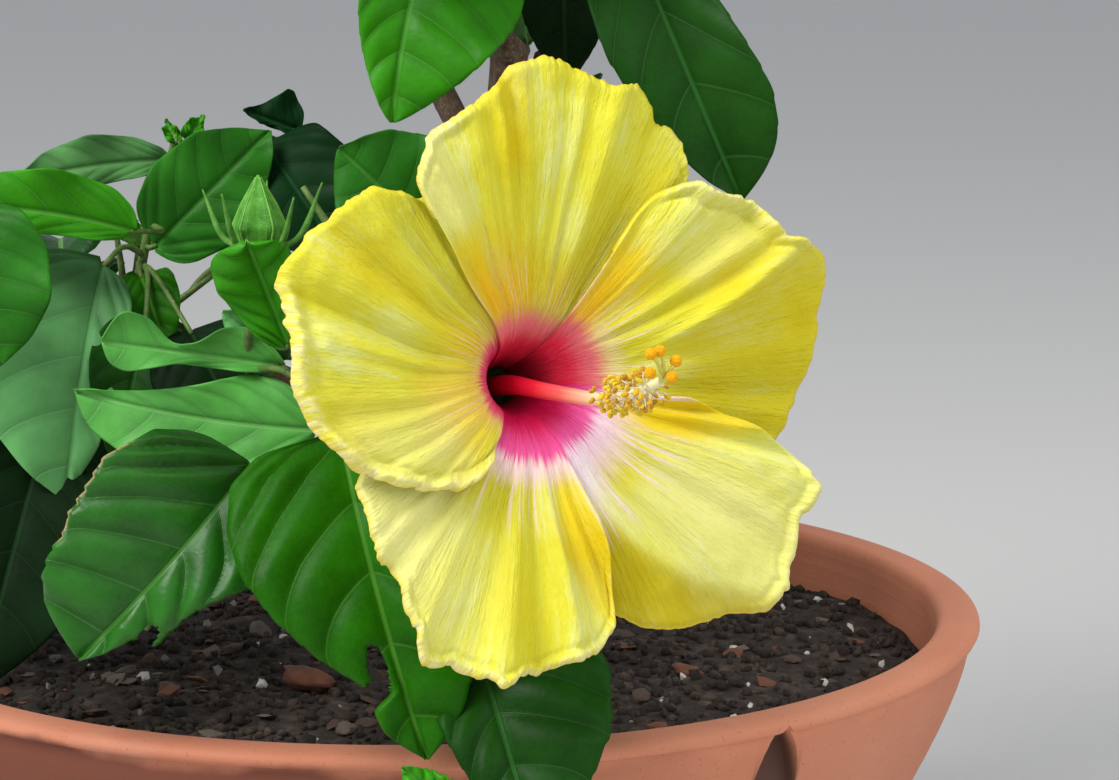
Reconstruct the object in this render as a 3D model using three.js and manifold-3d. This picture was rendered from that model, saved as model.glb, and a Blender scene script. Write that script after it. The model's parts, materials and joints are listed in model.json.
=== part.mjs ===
// A potted hibiscus shrub in a round terracotta bowl, with one large yellow bloom at the front.
// Lengths are millimetres and +Z is up. The origin is the centre of the bowl's flat underside.
// The bloom faces -Y, turned a little towards +X.
import * as THREE from "three";
import { mergeVertices } from "three/addons/utils/BufferGeometryUtils.js";
import Module from "manifold-3d";

const wasm = await Module();
wasm.setup();

// Driving dimensions of the bowl
const RIM_RADIUS = 165;
const BOWL_HEIGHT = 130;
const FOOT_RADIUS = 84;
const SHOULDER_RADIUS = 148;
const SHOULDER_HEIGHT = 86;
const WALL = 11;
const RIM_WIDTH = 12.5;
const RIM_DEPTH = 9;
const GRIP_WIDTH = 16;
const GRIP_HEIGHT = 24;
const GRIP_DEPTH = 9;
const GRIP_ANGLE = -52;
const DRAIN_RADIUS = 7;
const DRAIN_CIRCLE = 42;
const SOIL_BELOW_RIM = 15;
const BOWL_SIDES = 48;

// Driving dimensions of the plant, with heights counted from the soil
const FORK_HEIGHT = 60;
const STEM_RADIUS = 8.5;
const FLARE_RADIUS = 15;
const LEADER_RADIUS = 6.5;
const BOUGH_RADIUS = 5;
const STALK_RADIUS = 1.9;
const LUMP = 0.045;
const RING_SPACING = 20;

// Driving dimensions of the bloom, with depths counted from the foot of its petals
const BLOOM_RADIUS = 78;
const BLOOM_DEPTH = 38;
const BLOOM_TURN = 30;
const BLOOM_LIFT = 15;
const BLOOM_FACE = new THREE.Vector3(40.5, -177, 108.7);
const PETAL_THICKNESS = 1.4;
const PETAL_TWIST = 3.4;
const PETAL_HALF_ANGLE = 43;
const CLAW_HALF_ANGLE = 29;
const CALYX_RADIUS = 8.5;
const CALYX_LENGTH = 14;

const CLEARANCE = 0.3;
const SOIL_TOP = BOWL_HEIGHT - SOIL_BELOW_RIM;

const vec = (x, y, z) => new THREE.Vector3(x, y, z);
const clamp01 = (value) => Math.min(1, Math.max(0, value));
const radians = THREE.MathUtils.degToRad;

// The bloom looks along this direction: forwards, turned sideways and lifted a little
const FACING = vec(0, -1, 0)
  .applyAxisAngle(vec(1, 0, 0), -radians(BLOOM_LIFT))
  .applyAxisAngle(vec(0, 0, 1), radians(BLOOM_TURN));
const STALK_TOP = BLOOM_FACE.clone().addScaledVector(FACING, -BLOOM_DEPTH - CALYX_LENGTH - CLEARANCE);
const STALK_BEND = STALK_TOP.clone().addScaledVector(FACING, -14);

// One finish for each kind of surface
const finish = (color, roughness) => new THREE.MeshStandardMaterial({ color, roughness, metalness: 0 });
const TERRACOTTA = 0xcf8464;
const EARTH = 0x2a211c;
const BARK = 0x6b5138;
const GREEN_STEM = 0x6d8a3e;
const LEAF = 0x2f7d22;
const DEEP_LEAF = 0x1c5426;
const YELLOW = 0xf0df52;
const CALYX_GREEN = 0x5f9a3c;
const COLUMN_RED = 0xe0554f;
const POLLEN = 0xe0a92c;
const STIGMA_ORANGE = 0xf2992b;

// A closed geometry as a solid that can be joined and cut
function toSolid(geometry) {
  const bare = new THREE.BufferGeometry();
  bare.setAttribute("position", geometry.getAttribute("position"));
  bare.setIndex(geometry.index);
  const merged = mergeVertices(bare, 1e-3);
  const corners = [];
  for (let i = 0; i < merged.index.count; i += 3) {
    const [a, b, c] = [0, 1, 2].map((k) => merged.index.getX(i + k));
    if (a !== b && b !== c && c !== a) corners.push(a, b, c);
  }
  return new wasm.Manifold(
    new wasm.Mesh({
      numProp: 3,
      vertProperties: new Float32Array(merged.getAttribute("position").array),
      triVerts: new Uint32Array(corners),
    }),
  );
}

function toGeometry(solid) {
  const mesh = solid.getMesh();
  const geometry = new THREE.BufferGeometry();
  geometry.setAttribute("position", new THREE.BufferAttribute(mesh.vertProperties, 3));
  geometry.setIndex(new THREE.BufferAttribute(mesh.triVerts, 1));
  geometry.computeVertexNormals();
  return geometry;
}

function largestBody(solid) {
  return solid.decompose().reduce((best, body) => (body.volume() > best.volume() ? body : best));
}

function carved(solid, tools) {
  return largestBody(tools.reduce((rest, tool) => rest.subtract(tool), solid));
}

function meshOf(name, geometry, material) {
  const mesh = new THREE.Mesh(geometry, material);
  mesh.name = name;
  return mesh;
}

// A turned shape: the profile's x is the radius and its y is the height
function turned(points, sides) {
  return new THREE.LatheGeometry(points, sides).rotateX(Math.PI / 2);
}

// A repeatable stream of numbers between 0 and 1
function seededRandom(seed) {
  let state = seed;
  return () => {
    state = (state * 16807) % 2147483647;
    return state / 2147483647;
  };
}

// The bowl: a cone from its foot to a rounded shoulder, under a rolled rim
function bowlProfile() {
  const underRim = BOWL_HEIGHT - RIM_DEPTH - 2;
  const innerRadius = RIM_RADIUS - RIM_WIDTH;
  const path = new THREE.Path();
  path.moveTo(0, 0);
  path.lineTo(FOOT_RADIUS - 2, 0);
  path.lineTo(FOOT_RADIUS, 2);
  path.lineTo(SHOULDER_RADIUS, SHOULDER_HEIGHT);
  path.quadraticCurveTo(RIM_RADIUS - 3, underRim - 12, RIM_RADIUS - 2.5, underRim);
  path.lineTo(RIM_RADIUS, underRim + 2.5);
  path.quadraticCurveTo(RIM_RADIUS, BOWL_HEIGHT, RIM_RADIUS - 5, BOWL_HEIGHT);
  path.lineTo(innerRadius + 4, BOWL_HEIGHT);
  path.quadraticCurveTo(innerRadius, BOWL_HEIGHT, innerRadius, BOWL_HEIGHT - 4);
  path.lineTo(innerRadius - 1, SHOULDER_HEIGHT + WALL + 4);
  path.lineTo(SHOULDER_RADIUS - WALL, SHOULDER_HEIGHT);
  path.lineTo(FOOT_RADIUS - 4, WALL);
  path.lineTo(0, WALL);
  return path.getPoints(3);
}

// The pointed arch that is cut under the rim as a grip, before it is turned to its place
function gripTool() {
  const half = GRIP_WIDTH / 2;
  const arch = new THREE.Shape();
  arch.moveTo(-half, 0);
  arch.lineTo(half, 0);
  arch.quadraticCurveTo(half, GRIP_HEIGHT * 0.7, 0, GRIP_HEIGHT);
  arch.quadraticCurveTo(-half, GRIP_HEIGHT * 0.7, -half, 0);
  const prism = new THREE.ExtrudeGeometry(arch, { depth: 40, bevelEnabled: false, curveSegments: 6 });
  prism.rotateX(Math.PI / 2).rotateZ(Math.PI / 2);
  prism.translate(RIM_RADIUS - GRIP_DEPTH, 0, BOWL_HEIGHT - RIM_DEPTH - 2 - GRIP_HEIGHT);
  return prism;
}

function bowl() {
  const tools = [GRIP_ANGLE, GRIP_ANGLE + 180].map((angle) => toSolid(gripTool().rotateZ(radians(angle))));
  for (let i = 0; i < 3; i++) {
    const angle = radians(30 + 120 * i);
    const drill = new THREE.CylinderGeometry(DRAIN_RADIUS, DRAIN_RADIUS, 3 * WALL, 16).rotateX(Math.PI / 2);
    drill.translate(DRAIN_CIRCLE * Math.cos(angle), DRAIN_CIRCLE * Math.sin(angle), 0);
    tools.push(toSolid(drill));
  }
  return toGeometry(carved(toSolid(turned(bowlProfile(), BOWL_SIDES)), tools));
}

// The soil: it fills the bowl to its level, a clearance inside the wall
function soil() {
  const side = CLEARANCE + 0.2;
  const points = [
    new THREE.Vector2(0, WALL + CLEARANCE),
    new THREE.Vector2(FOOT_RADIUS - 4.5 - side, WALL + CLEARANCE),
    new THREE.Vector2(SHOULDER_RADIUS - WALL - side, SHOULDER_HEIGHT),
    new THREE.Vector2(RIM_RADIUS - RIM_WIDTH - 1 - side, SHOULDER_HEIGHT + WALL + 4),
    new THREE.Vector2(RIM_RADIUS - RIM_WIDTH - 1 - side, SOIL_TOP),
    new THREE.Vector2(0, SOIL_TOP),
  ];
  return turned(points, BOWL_SIDES);
}

// A tapering limb: a thin tube along the curve, with each ring then widened to its radius there
function limb({ points, from, to, flare = 0, sides = 8 }, grow = 0) {
  const curve = new THREE.CatmullRomCurve3(points.map((p) => vec(...p)));
  const steps = Math.max(3, Math.round(curve.getLength() / RING_SPACING));
  const ring = new THREE.Shape().absarc(0, 0, 1, 0, 2 * Math.PI);
  const tube = new THREE.ExtrudeGeometry(ring, {
    steps,
    curveSegments: sides / 2,
    extrudePath: curve,
    bevelEnabled: false,
  });
  const centres = curve.getSpacedPoints(steps);
  const position = tube.getAttribute("position");
  const point = vec(0, 0, 0);
  for (let i = 0; i < position.count; i++) {
    point.fromBufferAttribute(position, i);
    const distances = centres.map((centre) => centre.distanceTo(point));
    const step = distances.indexOf(Math.min(...distances));
    const along = step / steps;
    const radius = THREE.MathUtils.lerp(from, to, along) + flare * (1 - along) ** 4 + grow;
    const pastEnd = step === 0 ? -grow : step === steps ? grow : 0;
    point.sub(centres[step]).multiplyScalar(radius).add(centres[step]);
    point.addScaledVector(curve.getTangentAt(along), pastEnd);
    position.setXYZ(i, point.x, point.y, point.z);
  }
  return tube;
}

// A mass of leaves: a sphere stretched to its radii, with lumps the size of a leaf spray
function leafMass({ centre, radii, seed, detail = 3 }, grow = 0) {
  const random = seededRandom(seed);
  const waves = [];
  for (let i = 0; i < 6; i++) {
    const direction = vec(random() - 0.5, random() - 0.5, random() - 0.5).normalize();
    waves.push({ direction, count: 3 + 3 * random(), phase: 2 * Math.PI * random() });
  }
  const ball = new THREE.IcosahedronGeometry(1, detail);
  const position = ball.getAttribute("position");
  const point = vec(0, 0, 0);
  for (let i = 0; i < position.count; i++) {
    point.fromBufferAttribute(position, i).normalize();
    const lump = waves.reduce(
      (sum, wave) => sum + LUMP * Math.sin(wave.count * point.dot(wave.direction) + wave.phase),
      0.96,
    );
    const outwards = point.clone().multiplyScalar(grow);
    point.multiply(vec(...radii)).multiplyScalar(lump).add(outwards).add(vec(...centre));
    position.setXYZ(i, point.x, point.y, point.z);
  }
  return ball;
}

// The woody frame, from the soil up: each limb starts inside the one that carries it
const LIMBS = {
  trunk: {
    points: [[16.5, 22, -8], [15, 16, 22], [15, 12, 44], [17, 8, FORK_HEIGHT]],
    from: STEM_RADIUS + 1,
    to: STEM_RADIUS - 1,
    flare: FLARE_RADIUS - STEM_RADIUS + 1,
    sides: 10,
    flatFoot: true,
  },
  bough_leader: {
    points: [[17, 8, FORK_HEIGHT - 4], [23, 3, 110], [28.5, 0, 178], [27, 6, 250], [24, 10, 330]],
    from: LEADER_RADIUS,
    to: 4,
    endsIn: "leaves_top",
  },
  bough_front: {
    points: [[17, 8, FORK_HEIGHT - 8], [15, -28, 66], [9, -60, 75], [4, -84, 80]],
    from: BOUGH_RADIUS,
    to: 2.6,
  },
  bough_front_left: {
    points: [[9, -62, 75.5], [-8, -82, 78], [-26, -108, 75], [-42, -140, 66]],
    from: 2.4,
    to: 1.6,
    endsIn: "leaves_front_left",
    color: GREEN_STEM,
  },
  bough_under_bloom: {
    points: [[5, -78, 79], [12, -96, 68], [22, -120, 52], [34, -148, 40]],
    from: 2.2,
    to: 1.6,
    endsIn: "leaves_under_bloom",
    color: GREEN_STEM,
  },
  bough_behind_bloom: {
    points: [[10, -56, 74], [4, -62, 88], [-4, -72, 106], [-12, -80, 124]],
    from: 2.4,
    to: 1.6,
    endsIn: "leaves_behind_bloom",
    color: GREEN_STEM,
  },
  bough_left: {
    points: [[16, 9, 46], [-14, 2, 66], [-40, -12, 84], [-80, -30, 96]],
    from: BOUGH_RADIUS,
    to: 3,
    endsIn: "leaves_left_low",
  },
  bough_back: {
    points: [[16, 10, 44], [26, 38, 62], [38, 70, 84], [44, 100, 100]],
    from: BOUGH_RADIUS,
    to: 3,
    endsIn: "leaves_back_low",
  },
  bough_upper_left: {
    points: [[25, 2, 132], [6, 8, 168], [-24, 16, 214], [-60, 24, 250]],
    from: BOUGH_RADIUS - 1,
    to: 2.6,
    endsIn: "leaves_upper_left",
  },
  bough_upper_right: {
    points: [[27, 1, 152], [48, 6, 186], [74, 12, 224], [100, 18, 256]],
    from: BOUGH_RADIUS - 1,
    to: 2.6,
    endsIn: "leaves_upper_right",
  },
  bough_upper_front: {
    points: [[28.5, 0, 172], [28, -20, 194], [27, -45, 220], [27, -80, 245]],
    from: BOUGH_RADIUS - 1.2,
    to: 2.6,
    endsIn: "leaves_upper_front",
  },
  bough_upper_back: {
    points: [[28, 1, 188], [27, 30, 214], [24, 60, 238], [22, 100, 262]],
    from: BOUGH_RADIUS - 1.2,
    to: 2.6,
    endsIn: "leaves_upper_back",
  },
  bloom_stalk: {
    points: [[4, -83, 79.8], [1, -98, 81], STALK_BEND.toArray(), STALK_TOP.toArray()],
    from: STALK_RADIUS,
    to: STALK_RADIUS,
    sides: 6,
    color: GREEN_STEM,
  },
};

// The masses of leaves: the crown above, the low sprays, and the thin pads over the bowl's front rim
const MASSES = {
  leaves_top: { centre: [20, 8, 364], radii: [104, 94, 74], seed: 11 },
  leaves_upper_left: { centre: [-88, 26, 262], radii: [94, 84, 68], seed: 23 },
  leaves_upper_right: { centre: [124, 22, 268], radii: [92, 86, 70], seed: 37 },
  leaves_upper_front: { centre: [28, -88, 246], radii: [84, 60, 80], seed: 41 },
  leaves_upper_back: { centre: [16, 120, 260], radii: [94, 76, 72], seed: 53 },
  leaves_back_low: { centre: [44, 120, 108], radii: [72, 62, 56], seed: 67, color: DEEP_LEAF },
  leaves_left_low: { centre: [-100, -42, 92], radii: [94, 68, 64], seed: 71, color: DEEP_LEAF },
  leaves_behind_bloom: { centre: [-14, -82, 128], radii: [50, 34, 38], seed: 83, color: DEEP_LEAF },
  leaves_front_left: { centre: [-44, -144, 62], radii: [62, 28, 43], seed: 97 },
  leaves_under_bloom: { centre: [34, -152, 38], radii: [32, 26, 19], seed: 101 },
};

// Limbs are cut free of those before them, of what they end in, and masses of the limbs and of each other
function plantSolids() {
  const belowSoil = toSolid(new THREE.BoxGeometry(200, 200, 40).translate(0, 0, -20));
  const solids = {};
  const grownLimbs = [];
  for (const [name, spec] of Object.entries(LIMBS)) {
    const tools = grownLimbs.map((entry) => entry.solid);
    if (spec.flatFoot) tools.push(belowSoil);
    if (spec.endsIn) tools.push(toSolid(leafMass(MASSES[spec.endsIn], CLEARANCE)));
    solids[name] = carved(toSolid(limb(spec)), tools);
    grownLimbs.push({ solid: toSolid(limb(spec, CLEARANCE)), endsIn: spec.endsIn });
  }
  const grownMasses = [];
  for (const [name, spec] of Object.entries(MASSES)) {
    const passing = grownLimbs.filter((entry) => entry.endsIn !== name).map((entry) => entry.solid);
    solids[name] = carved(toSolid(leafMass(spec)), [...passing, ...grownMasses]);
    grownMasses.push(toSolid(leafMass(spec, CLEARANCE)));
  }
  return solids;
}

// Where each petal points, anticlockwise from the bloom's right as seen from the front, and how far it reaches
const PETALS = {
  petal_upper_right: { angle: 17, reach: 83 },
  petal_top: { angle: 89, reach: 79 },
  petal_left: { angle: 163, reach: 75 },
  petal_bottom: { angle: 240, reach: 75 },
  petal_lower_right: { angle: 312, reach: 80 },
};

// The petal's middle line: its distance from the bloom's axis against its depth, from claw to margin
const PETAL_LINE = new THREE.CatmullRomCurve3([
  vec(4.6, 0, 0),
  vec(5.6, 8, 0),
  vec(9, 17, 0),
  vec(18, 26, 0),
  vec(36, 33, 0),
  vec(57, BLOOM_DEPTH - 1, 0),
  vec(BLOOM_RADIUS, BLOOM_DEPTH, 0),
]);

// A point of a petal: u runs from claw to margin, v from edge to edge, side is -1 behind and 1 in front
function petalPoint(u, v, side, reach) {
  const middle = PETAL_LINE.getPointAt(u);
  const tangent = PETAL_LINE.getTangentAt(u);
  const spread = clamp01((middle.x - 9) / 20);
  const halfAngle = radians(THREE.MathUtils.lerp(CLAW_HALF_ANGLE, PETAL_HALF_ANGLE, spread));
  const rounding = 1 - 0.16 * v ** 4 * u ** 6;
  const stretch = 1 + (reach / BLOOM_RADIUS - 1) * u ** 2;
  const angle = v * halfAngle;
  const radius = middle.x * rounding * stretch - (side * tangent.y * PETAL_THICKNESS) / 2;
  const depth = middle.y + PETAL_TWIST * v * Math.sqrt(spread) + (side * tangent.x * PETAL_THICKNESS) / 2;
  return vec(radius * Math.cos(angle), radius * Math.sin(angle), depth);
}

// A petal: a flat slab whose corners are moved onto the curved sheet
function petal(reach) {
  const slab = new THREE.BoxGeometry(1, 2, 2, 8, 7, 1).translate(0.5, 0, 0);
  const position = slab.getAttribute("position");
  for (let i = 0; i < position.count; i++) {
    const point = petalPoint(clamp01(position.getX(i)), position.getY(i), position.getZ(i), reach);
    position.setXYZ(i, point.x, point.y, point.z);
  }
  return toGeometry(toSolid(slab));
}

// The calyx: a five-sided green cup round the claws, closed below where the stalk enters
function calyx() {
  const cup = [
    [0, -CALYX_LENGTH],
    [4, -CALYX_LENGTH],
    [CALYX_RADIUS, -5],
    [CALYX_RADIUS, 4],
    [CALYX_RADIUS + 1, 11],
    [CALYX_RADIUS - 0.4, 11],
    [CALYX_RADIUS - 1.8, 4],
    [CALYX_RADIUS - 2.4, -CLEARANCE - 0.1],
    [0, -CLEARANCE - 0.1],
  ];
  return turned(cup.map(([radius, height]) => new THREE.Vector2(radius, height)), 15);
}

// The column of stamens: it rises from the claws, droops a little and carries anthers and stigmas
const COLUMN = {
  points: [[0, 0, 0], [0, 0, 14], [1, -5.4, 33], [4, -9.8, 54], [6.5, -9.6, 68]],
  from: 3,
  to: 1.7,
  sides: 8,
};
const ANTHERS = { centre: [6, -9.4, 66], radii: [6.8, 6.8, 11], seed: 5, detail: 2 };
const STYLE = { points: [[7.4, -8, 74], [8, -5.6, 77], [8.6, -3, 79.6]], from: 1, to: 1, sides: 6 };
const STIGMAS = { centre: [9, -0.6, 81], radii: [4.2, 4.2, 4.2], seed: 7, detail: 1 };

function bloomGroup() {
  const group = new THREE.Group();
  const yellow = finish(YELLOW, 0.6);
  for (const [name, { angle, reach }] of Object.entries(PETALS)) {
    const mesh = meshOf(name, petal(reach), yellow);
    mesh.rotation.z = radians(angle);
    group.add(mesh);
  }
  const anthersGrown = toSolid(leafMass(ANTHERS, CLEARANCE));
  const stigmasGrown = toSolid(leafMass(STIGMAS, CLEARANCE));
  const column = carved(toSolid(limb(COLUMN)), [anthersGrown]);
  const style = carved(toSolid(limb(STYLE)), [anthersGrown, stigmasGrown]);
  group.add(meshOf("calyx", calyx(), finish(CALYX_GREEN, 0.6)));
  group.add(meshOf("stamen_column", toGeometry(column), finish(COLUMN_RED, 0.5)));
  group.add(meshOf("anthers", leafMass(ANTHERS), finish(POLLEN, 0.9)));
  group.add(meshOf("style", toGeometry(style), finish(COLUMN_RED, 0.5)));
  group.add(meshOf("stigmas", leafMass(STIGMAS), finish(STIGMA_ORANGE, 0.8)));
  // The pieces are made round their own +Z, which is turned to the way the bloom faces
  const across = vec(0, 0, 1).cross(FACING).normalize();
  const upwards = FACING.clone().cross(across);
  group.setRotationFromMatrix(new THREE.Matrix4().makeBasis(across, upwards, FACING));
  group.position.copy(BLOOM_FACE).addScaledVector(FACING, -BLOOM_DEPTH);
  return group;
}

function plantGroup() {
  const group = new THREE.Group();
  group.position.z = SOIL_TOP + CLEARANCE;
  for (const [name, solid] of Object.entries(plantSolids())) {
    const material =
      name in LIMBS ? finish(LIMBS[name].color ?? BARK, 0.9) : finish(MASSES[name].color ?? LEAF, 0.45);
    group.add(meshOf(name, toGeometry(solid), material));
  }
  group.add(bloomGroup());
  return group;
}

const shrub = new THREE.Group();
shrub.add(meshOf("bowl", bowl(), finish(TERRACOTTA, 0.85)));
shrub.add(meshOf("soil", soil(), finish(EARTH, 1)));
shrub.add(plantGroup());

export default shrub;
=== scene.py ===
# %% [markdown]
# # A hibiscus in a terracotta bowl
# The part is a small potted hibiscus: a clay bowl of dark soil, a short woody stem with boughs, soft masses
# of toothed leaves, one calyx bud and one wide yellow bloom with a crimson throat. Every piece is built in
# metres round the fixed frame, so nothing has to be fitted afterwards.

# %% Load the frame
import itertools
import json
import math

import bpy
import numpy as np
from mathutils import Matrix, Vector

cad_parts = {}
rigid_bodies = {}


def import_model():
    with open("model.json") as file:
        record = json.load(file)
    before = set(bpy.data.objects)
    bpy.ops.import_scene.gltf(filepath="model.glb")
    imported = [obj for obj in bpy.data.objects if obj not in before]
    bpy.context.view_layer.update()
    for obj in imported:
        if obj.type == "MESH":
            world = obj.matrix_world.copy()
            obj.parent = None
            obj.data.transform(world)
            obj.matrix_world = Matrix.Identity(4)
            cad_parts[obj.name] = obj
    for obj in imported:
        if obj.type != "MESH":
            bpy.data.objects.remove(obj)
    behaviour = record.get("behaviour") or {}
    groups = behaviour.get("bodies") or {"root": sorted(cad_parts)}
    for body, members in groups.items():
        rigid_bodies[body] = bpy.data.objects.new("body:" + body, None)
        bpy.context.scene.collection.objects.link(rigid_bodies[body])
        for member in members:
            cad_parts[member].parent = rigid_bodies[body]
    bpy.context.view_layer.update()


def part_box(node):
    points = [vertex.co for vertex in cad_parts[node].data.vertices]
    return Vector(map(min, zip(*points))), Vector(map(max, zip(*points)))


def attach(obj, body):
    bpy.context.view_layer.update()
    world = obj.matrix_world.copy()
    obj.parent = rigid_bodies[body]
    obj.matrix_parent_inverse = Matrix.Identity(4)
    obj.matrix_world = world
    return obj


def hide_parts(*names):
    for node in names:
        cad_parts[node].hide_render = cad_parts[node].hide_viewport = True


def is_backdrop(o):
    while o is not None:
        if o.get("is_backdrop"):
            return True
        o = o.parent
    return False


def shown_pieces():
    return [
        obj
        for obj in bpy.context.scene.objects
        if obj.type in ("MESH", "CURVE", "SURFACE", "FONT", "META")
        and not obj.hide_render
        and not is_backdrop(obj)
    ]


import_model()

MM = 0.001
SOIL_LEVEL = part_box("trunk")[0].z
bpy.ops.object.select_all(action="DESELECT")

# %% [markdown]
# ## The view
# The camera stands a metre in front of the bowl and looks a little down, through a long lens, as a portrait
# of a flower is taken. Two helpers turn a pixel of the photograph into a place in the scene and back. They
# let a leaf that is seen in the photograph be put where it is seen, at a depth that is chosen for it.

# %% Camera
CAMERA_PLACE = np.array((0.0428, -0.9612, 0.3584))
CAMERA_PITCH = 9.8
LENS = 108.1
SENSOR = 36.0
PHOTO_WIDTH = 1119
PHOTO_HEIGHT = 780

bpy.ops.object.camera_add(location=CAMERA_PLACE, rotation=(math.radians(90 - CAMERA_PITCH), 0, 0))
camera = bpy.context.object
camera.data.lens = LENS
camera.data.sensor_width = SENSOR
bpy.context.scene.camera = camera

FOCAL_PIXELS = LENS / SENSOR * PHOTO_WIDTH
AHEAD = np.array((0, math.cos(math.radians(CAMERA_PITCH)), -math.sin(math.radians(CAMERA_PITCH))))
UPWARD = np.array((0, -AHEAD[2], AHEAD[1]))


def at_pixel(pixel, depth):
    """The point seen at a pixel (x, y) of the photograph, on the upright plane y = depth in millimetres."""
    sideways = (pixel[0] - PHOTO_WIDTH / 2) / FOCAL_PIXELS
    upwards = (PHOTO_HEIGHT / 2 - pixel[1]) / FOCAL_PIXELS
    ray = AHEAD + sideways * np.array((1, 0, 0)) + upwards * UPWARD
    return CAMERA_PLACE + ray * (depth * MM - CAMERA_PLACE[1]) / ray[1]


def to_pixels(points):
    """Where points fall in the photograph, as an array of pixel pairs."""
    offset = points - CAMERA_PLACE
    distance = offset @ AHEAD
    across = PHOTO_WIDTH / 2 + FOCAL_PIXELS * offset[:, 0] / distance
    down = PHOTO_HEIGHT / 2 - FOCAL_PIXELS * (offset @ UPWARD) / distance
    return np.stack((across, down), axis=1)


RIM_FRONT = (0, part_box("bowl")[0].y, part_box("bowl")[1].z)
print("rim's front seen at", to_pixels(np.array([RIM_FRONT])).round(0))

# %% [markdown]
# ## The light
# The bloom stood in open shade: broad soft light from above and the left, with no hard shadow. A pale world
# gives the fill, one large panel gives the direction, and a weaker one keeps the right side from going
# grey. The display is set to plain colour, because a filmic one turns a strong yellow pale.

# %% Light and floor
WORLD_COLOR = (0.80, 0.84, 0.90)
WORLD_STRENGTH = 0.62
FLOOR_COLOR = (0.62, 0.61, 0.59)


def add_panel(place, target, size, power, color):
    """A large square light at a place, turned to face the target."""
    bpy.ops.object.light_add(type="AREA", location=place)
    panel = bpy.context.object
    panel.data.size = size
    panel.data.energy = power
    panel.data.color = color
    panel.rotation_euler = (Vector(target) - Vector(place)).to_track_quat("-Z", "Y").to_euler()


scene = bpy.context.scene
scene.world = bpy.data.worlds.new("pale_sky")
scene.world.use_nodes = True
sky = scene.world.node_tree.nodes["Background"]
sky.inputs["Color"].default_value = (*WORLD_COLOR, 1)
sky.inputs["Strength"].default_value = WORLD_STRENGTH
scene.view_settings.view_transform = "Standard"

add_panel((-1.0, -0.9, 1.6), (0, -0.1, 0.25), 1.0, 34, (1.0, 0.98, 0.94))
add_panel((1.1, -0.6, 1.4), (0.12, 0, 0.13), 1.8, 12, (1.0, 0.98, 0.95))

bpy.ops.mesh.primitive_plane_add(size=40)
floor = bpy.context.object
floor.name = "floor"
floor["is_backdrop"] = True
print("lights set, floor laid")

# %% [markdown]
# ## Small tools for finishes and meshes
# A finish is a Principled surface with a few nodes in front of it. Each helper adds one node and hands back
# its output, so that a finish reads as a short recipe. Patterns use object coordinates in metres, or the
# piece's own UV map where they have to follow a leaf or a petal.

# %% Finish helpers


def new_finish(name, roughness, color=(0.8, 0.8, 0.8), gloss=0.5):
    """A material with one Principled surface. gloss is how strongly it reflects at a given roughness."""
    material = bpy.data.materials.new(name)
    material.use_nodes = True
    surface = material.node_tree.nodes["Principled BSDF"]
    surface.inputs["Base Color"].default_value = (*color, 1)
    surface.inputs["Roughness"].default_value = roughness
    surface.inputs["Specular IOR Level"].default_value = gloss
    return material


def add_node(material, kind, inputs, **settings):
    """Adds a node. Each of its inputs is an output to link, or a plain value."""
    made = material.node_tree.nodes.new("ShaderNode" + kind)
    for key, value in settings.items():
        setattr(made, key, value)
    for key, value in inputs.items():
        if isinstance(value, bpy.types.NodeSocket):
            material.node_tree.links.new(value, made.inputs[key])
        else:
            made.inputs[key].default_value = value
    return made


def wire(material, socket, output):
    """Links an output to a socket of the surface."""
    surface = material.node_tree.nodes["Principled BSDF"]
    material.node_tree.links.new(output, surface.inputs[socket])


def place_of(material, scale=(1, 1, 1)):
    """Object coordinates, stretched by a scale."""
    source = add_node(material, "TexCoord", {})
    mapping = add_node(material, "Mapping", {"Vector": source.outputs["Object"], "Scale": scale})
    return mapping.outputs["Vector"]


def map_of(material, name, scale=(1, 1, 1), turn=0.0):
    """The piece's own UV map, stretched by a scale and then turned."""
    source = add_node(material, "UVMap", {}, uv_map=name)
    inputs = {"Vector": source.outputs["UV"], "Scale": scale, "Rotation": (0, 0, turn)}
    return add_node(material, "Mapping", inputs).outputs["Vector"]


def parts_of(material, vector):
    """The x and y of a vector."""
    parts = add_node(material, "SeparateXYZ", {"Vector": vector})
    return parts.outputs["X"], parts.outputs["Y"]


def grain(material, vector, scale, detail=3.0, roughness=0.5):
    """Soft noise from 0 to 1."""
    inputs = {"Vector": vector, "Scale": scale, "Detail": detail, "Roughness": roughness}
    return add_node(material, "TexNoise", inputs).outputs["Fac"]


def cells(material, vector, scale, feature="F1"):
    """Distance within a pattern of cells."""
    made = add_node(material, "TexVoronoi", {"Vector": vector, "Scale": scale}, feature=feature)
    return made.outputs["Distance"]


def arithmetic(material, operation, first, second=0.0, third=0.0):
    """The result of a Math node; each value is a number or an output."""
    return add_node(material, "Math", {0: first, 1: second, 2: third}, operation=operation).outputs[0]


def product(material, first, *others):
    """All the values multiplied with each other."""
    for other in others:
        first = arithmetic(material, "MULTIPLY", first, other)
    return first


def weighted_sum(material, *pairs):
    """The sum of outputs, each given with its weight."""
    total = 0.0
    for output, weight in pairs:
        total = arithmetic(material, "MULTIPLY_ADD", output, weight, total)
    return total


def fade(material, value, start, end, low=0.0, high=1.0):
    """Smoothly from low to high as the value goes from start to end."""
    inputs = {"Value": value, "From Min": start, "From Max": end, "To Min": low, "To Max": high}
    return add_node(material, "MapRange", inputs, interpolation_type="SMOOTHSTEP").outputs["Result"]


def ramp(material, factor, stops):
    """Colours along a factor: stops are (place, colour)."""
    made = add_node(material, "ValToRGB", {"Fac": factor})
    band = made.color_ramp
    while len(band.elements) < len(stops):
        band.elements.new(0.5)
    for element, (place, color) in zip(band.elements, sorted(stops, key=lambda stop: stop[0])):
        element.position = place
        element.color = (*color, 1)
    return made.outputs["Color"]


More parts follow.
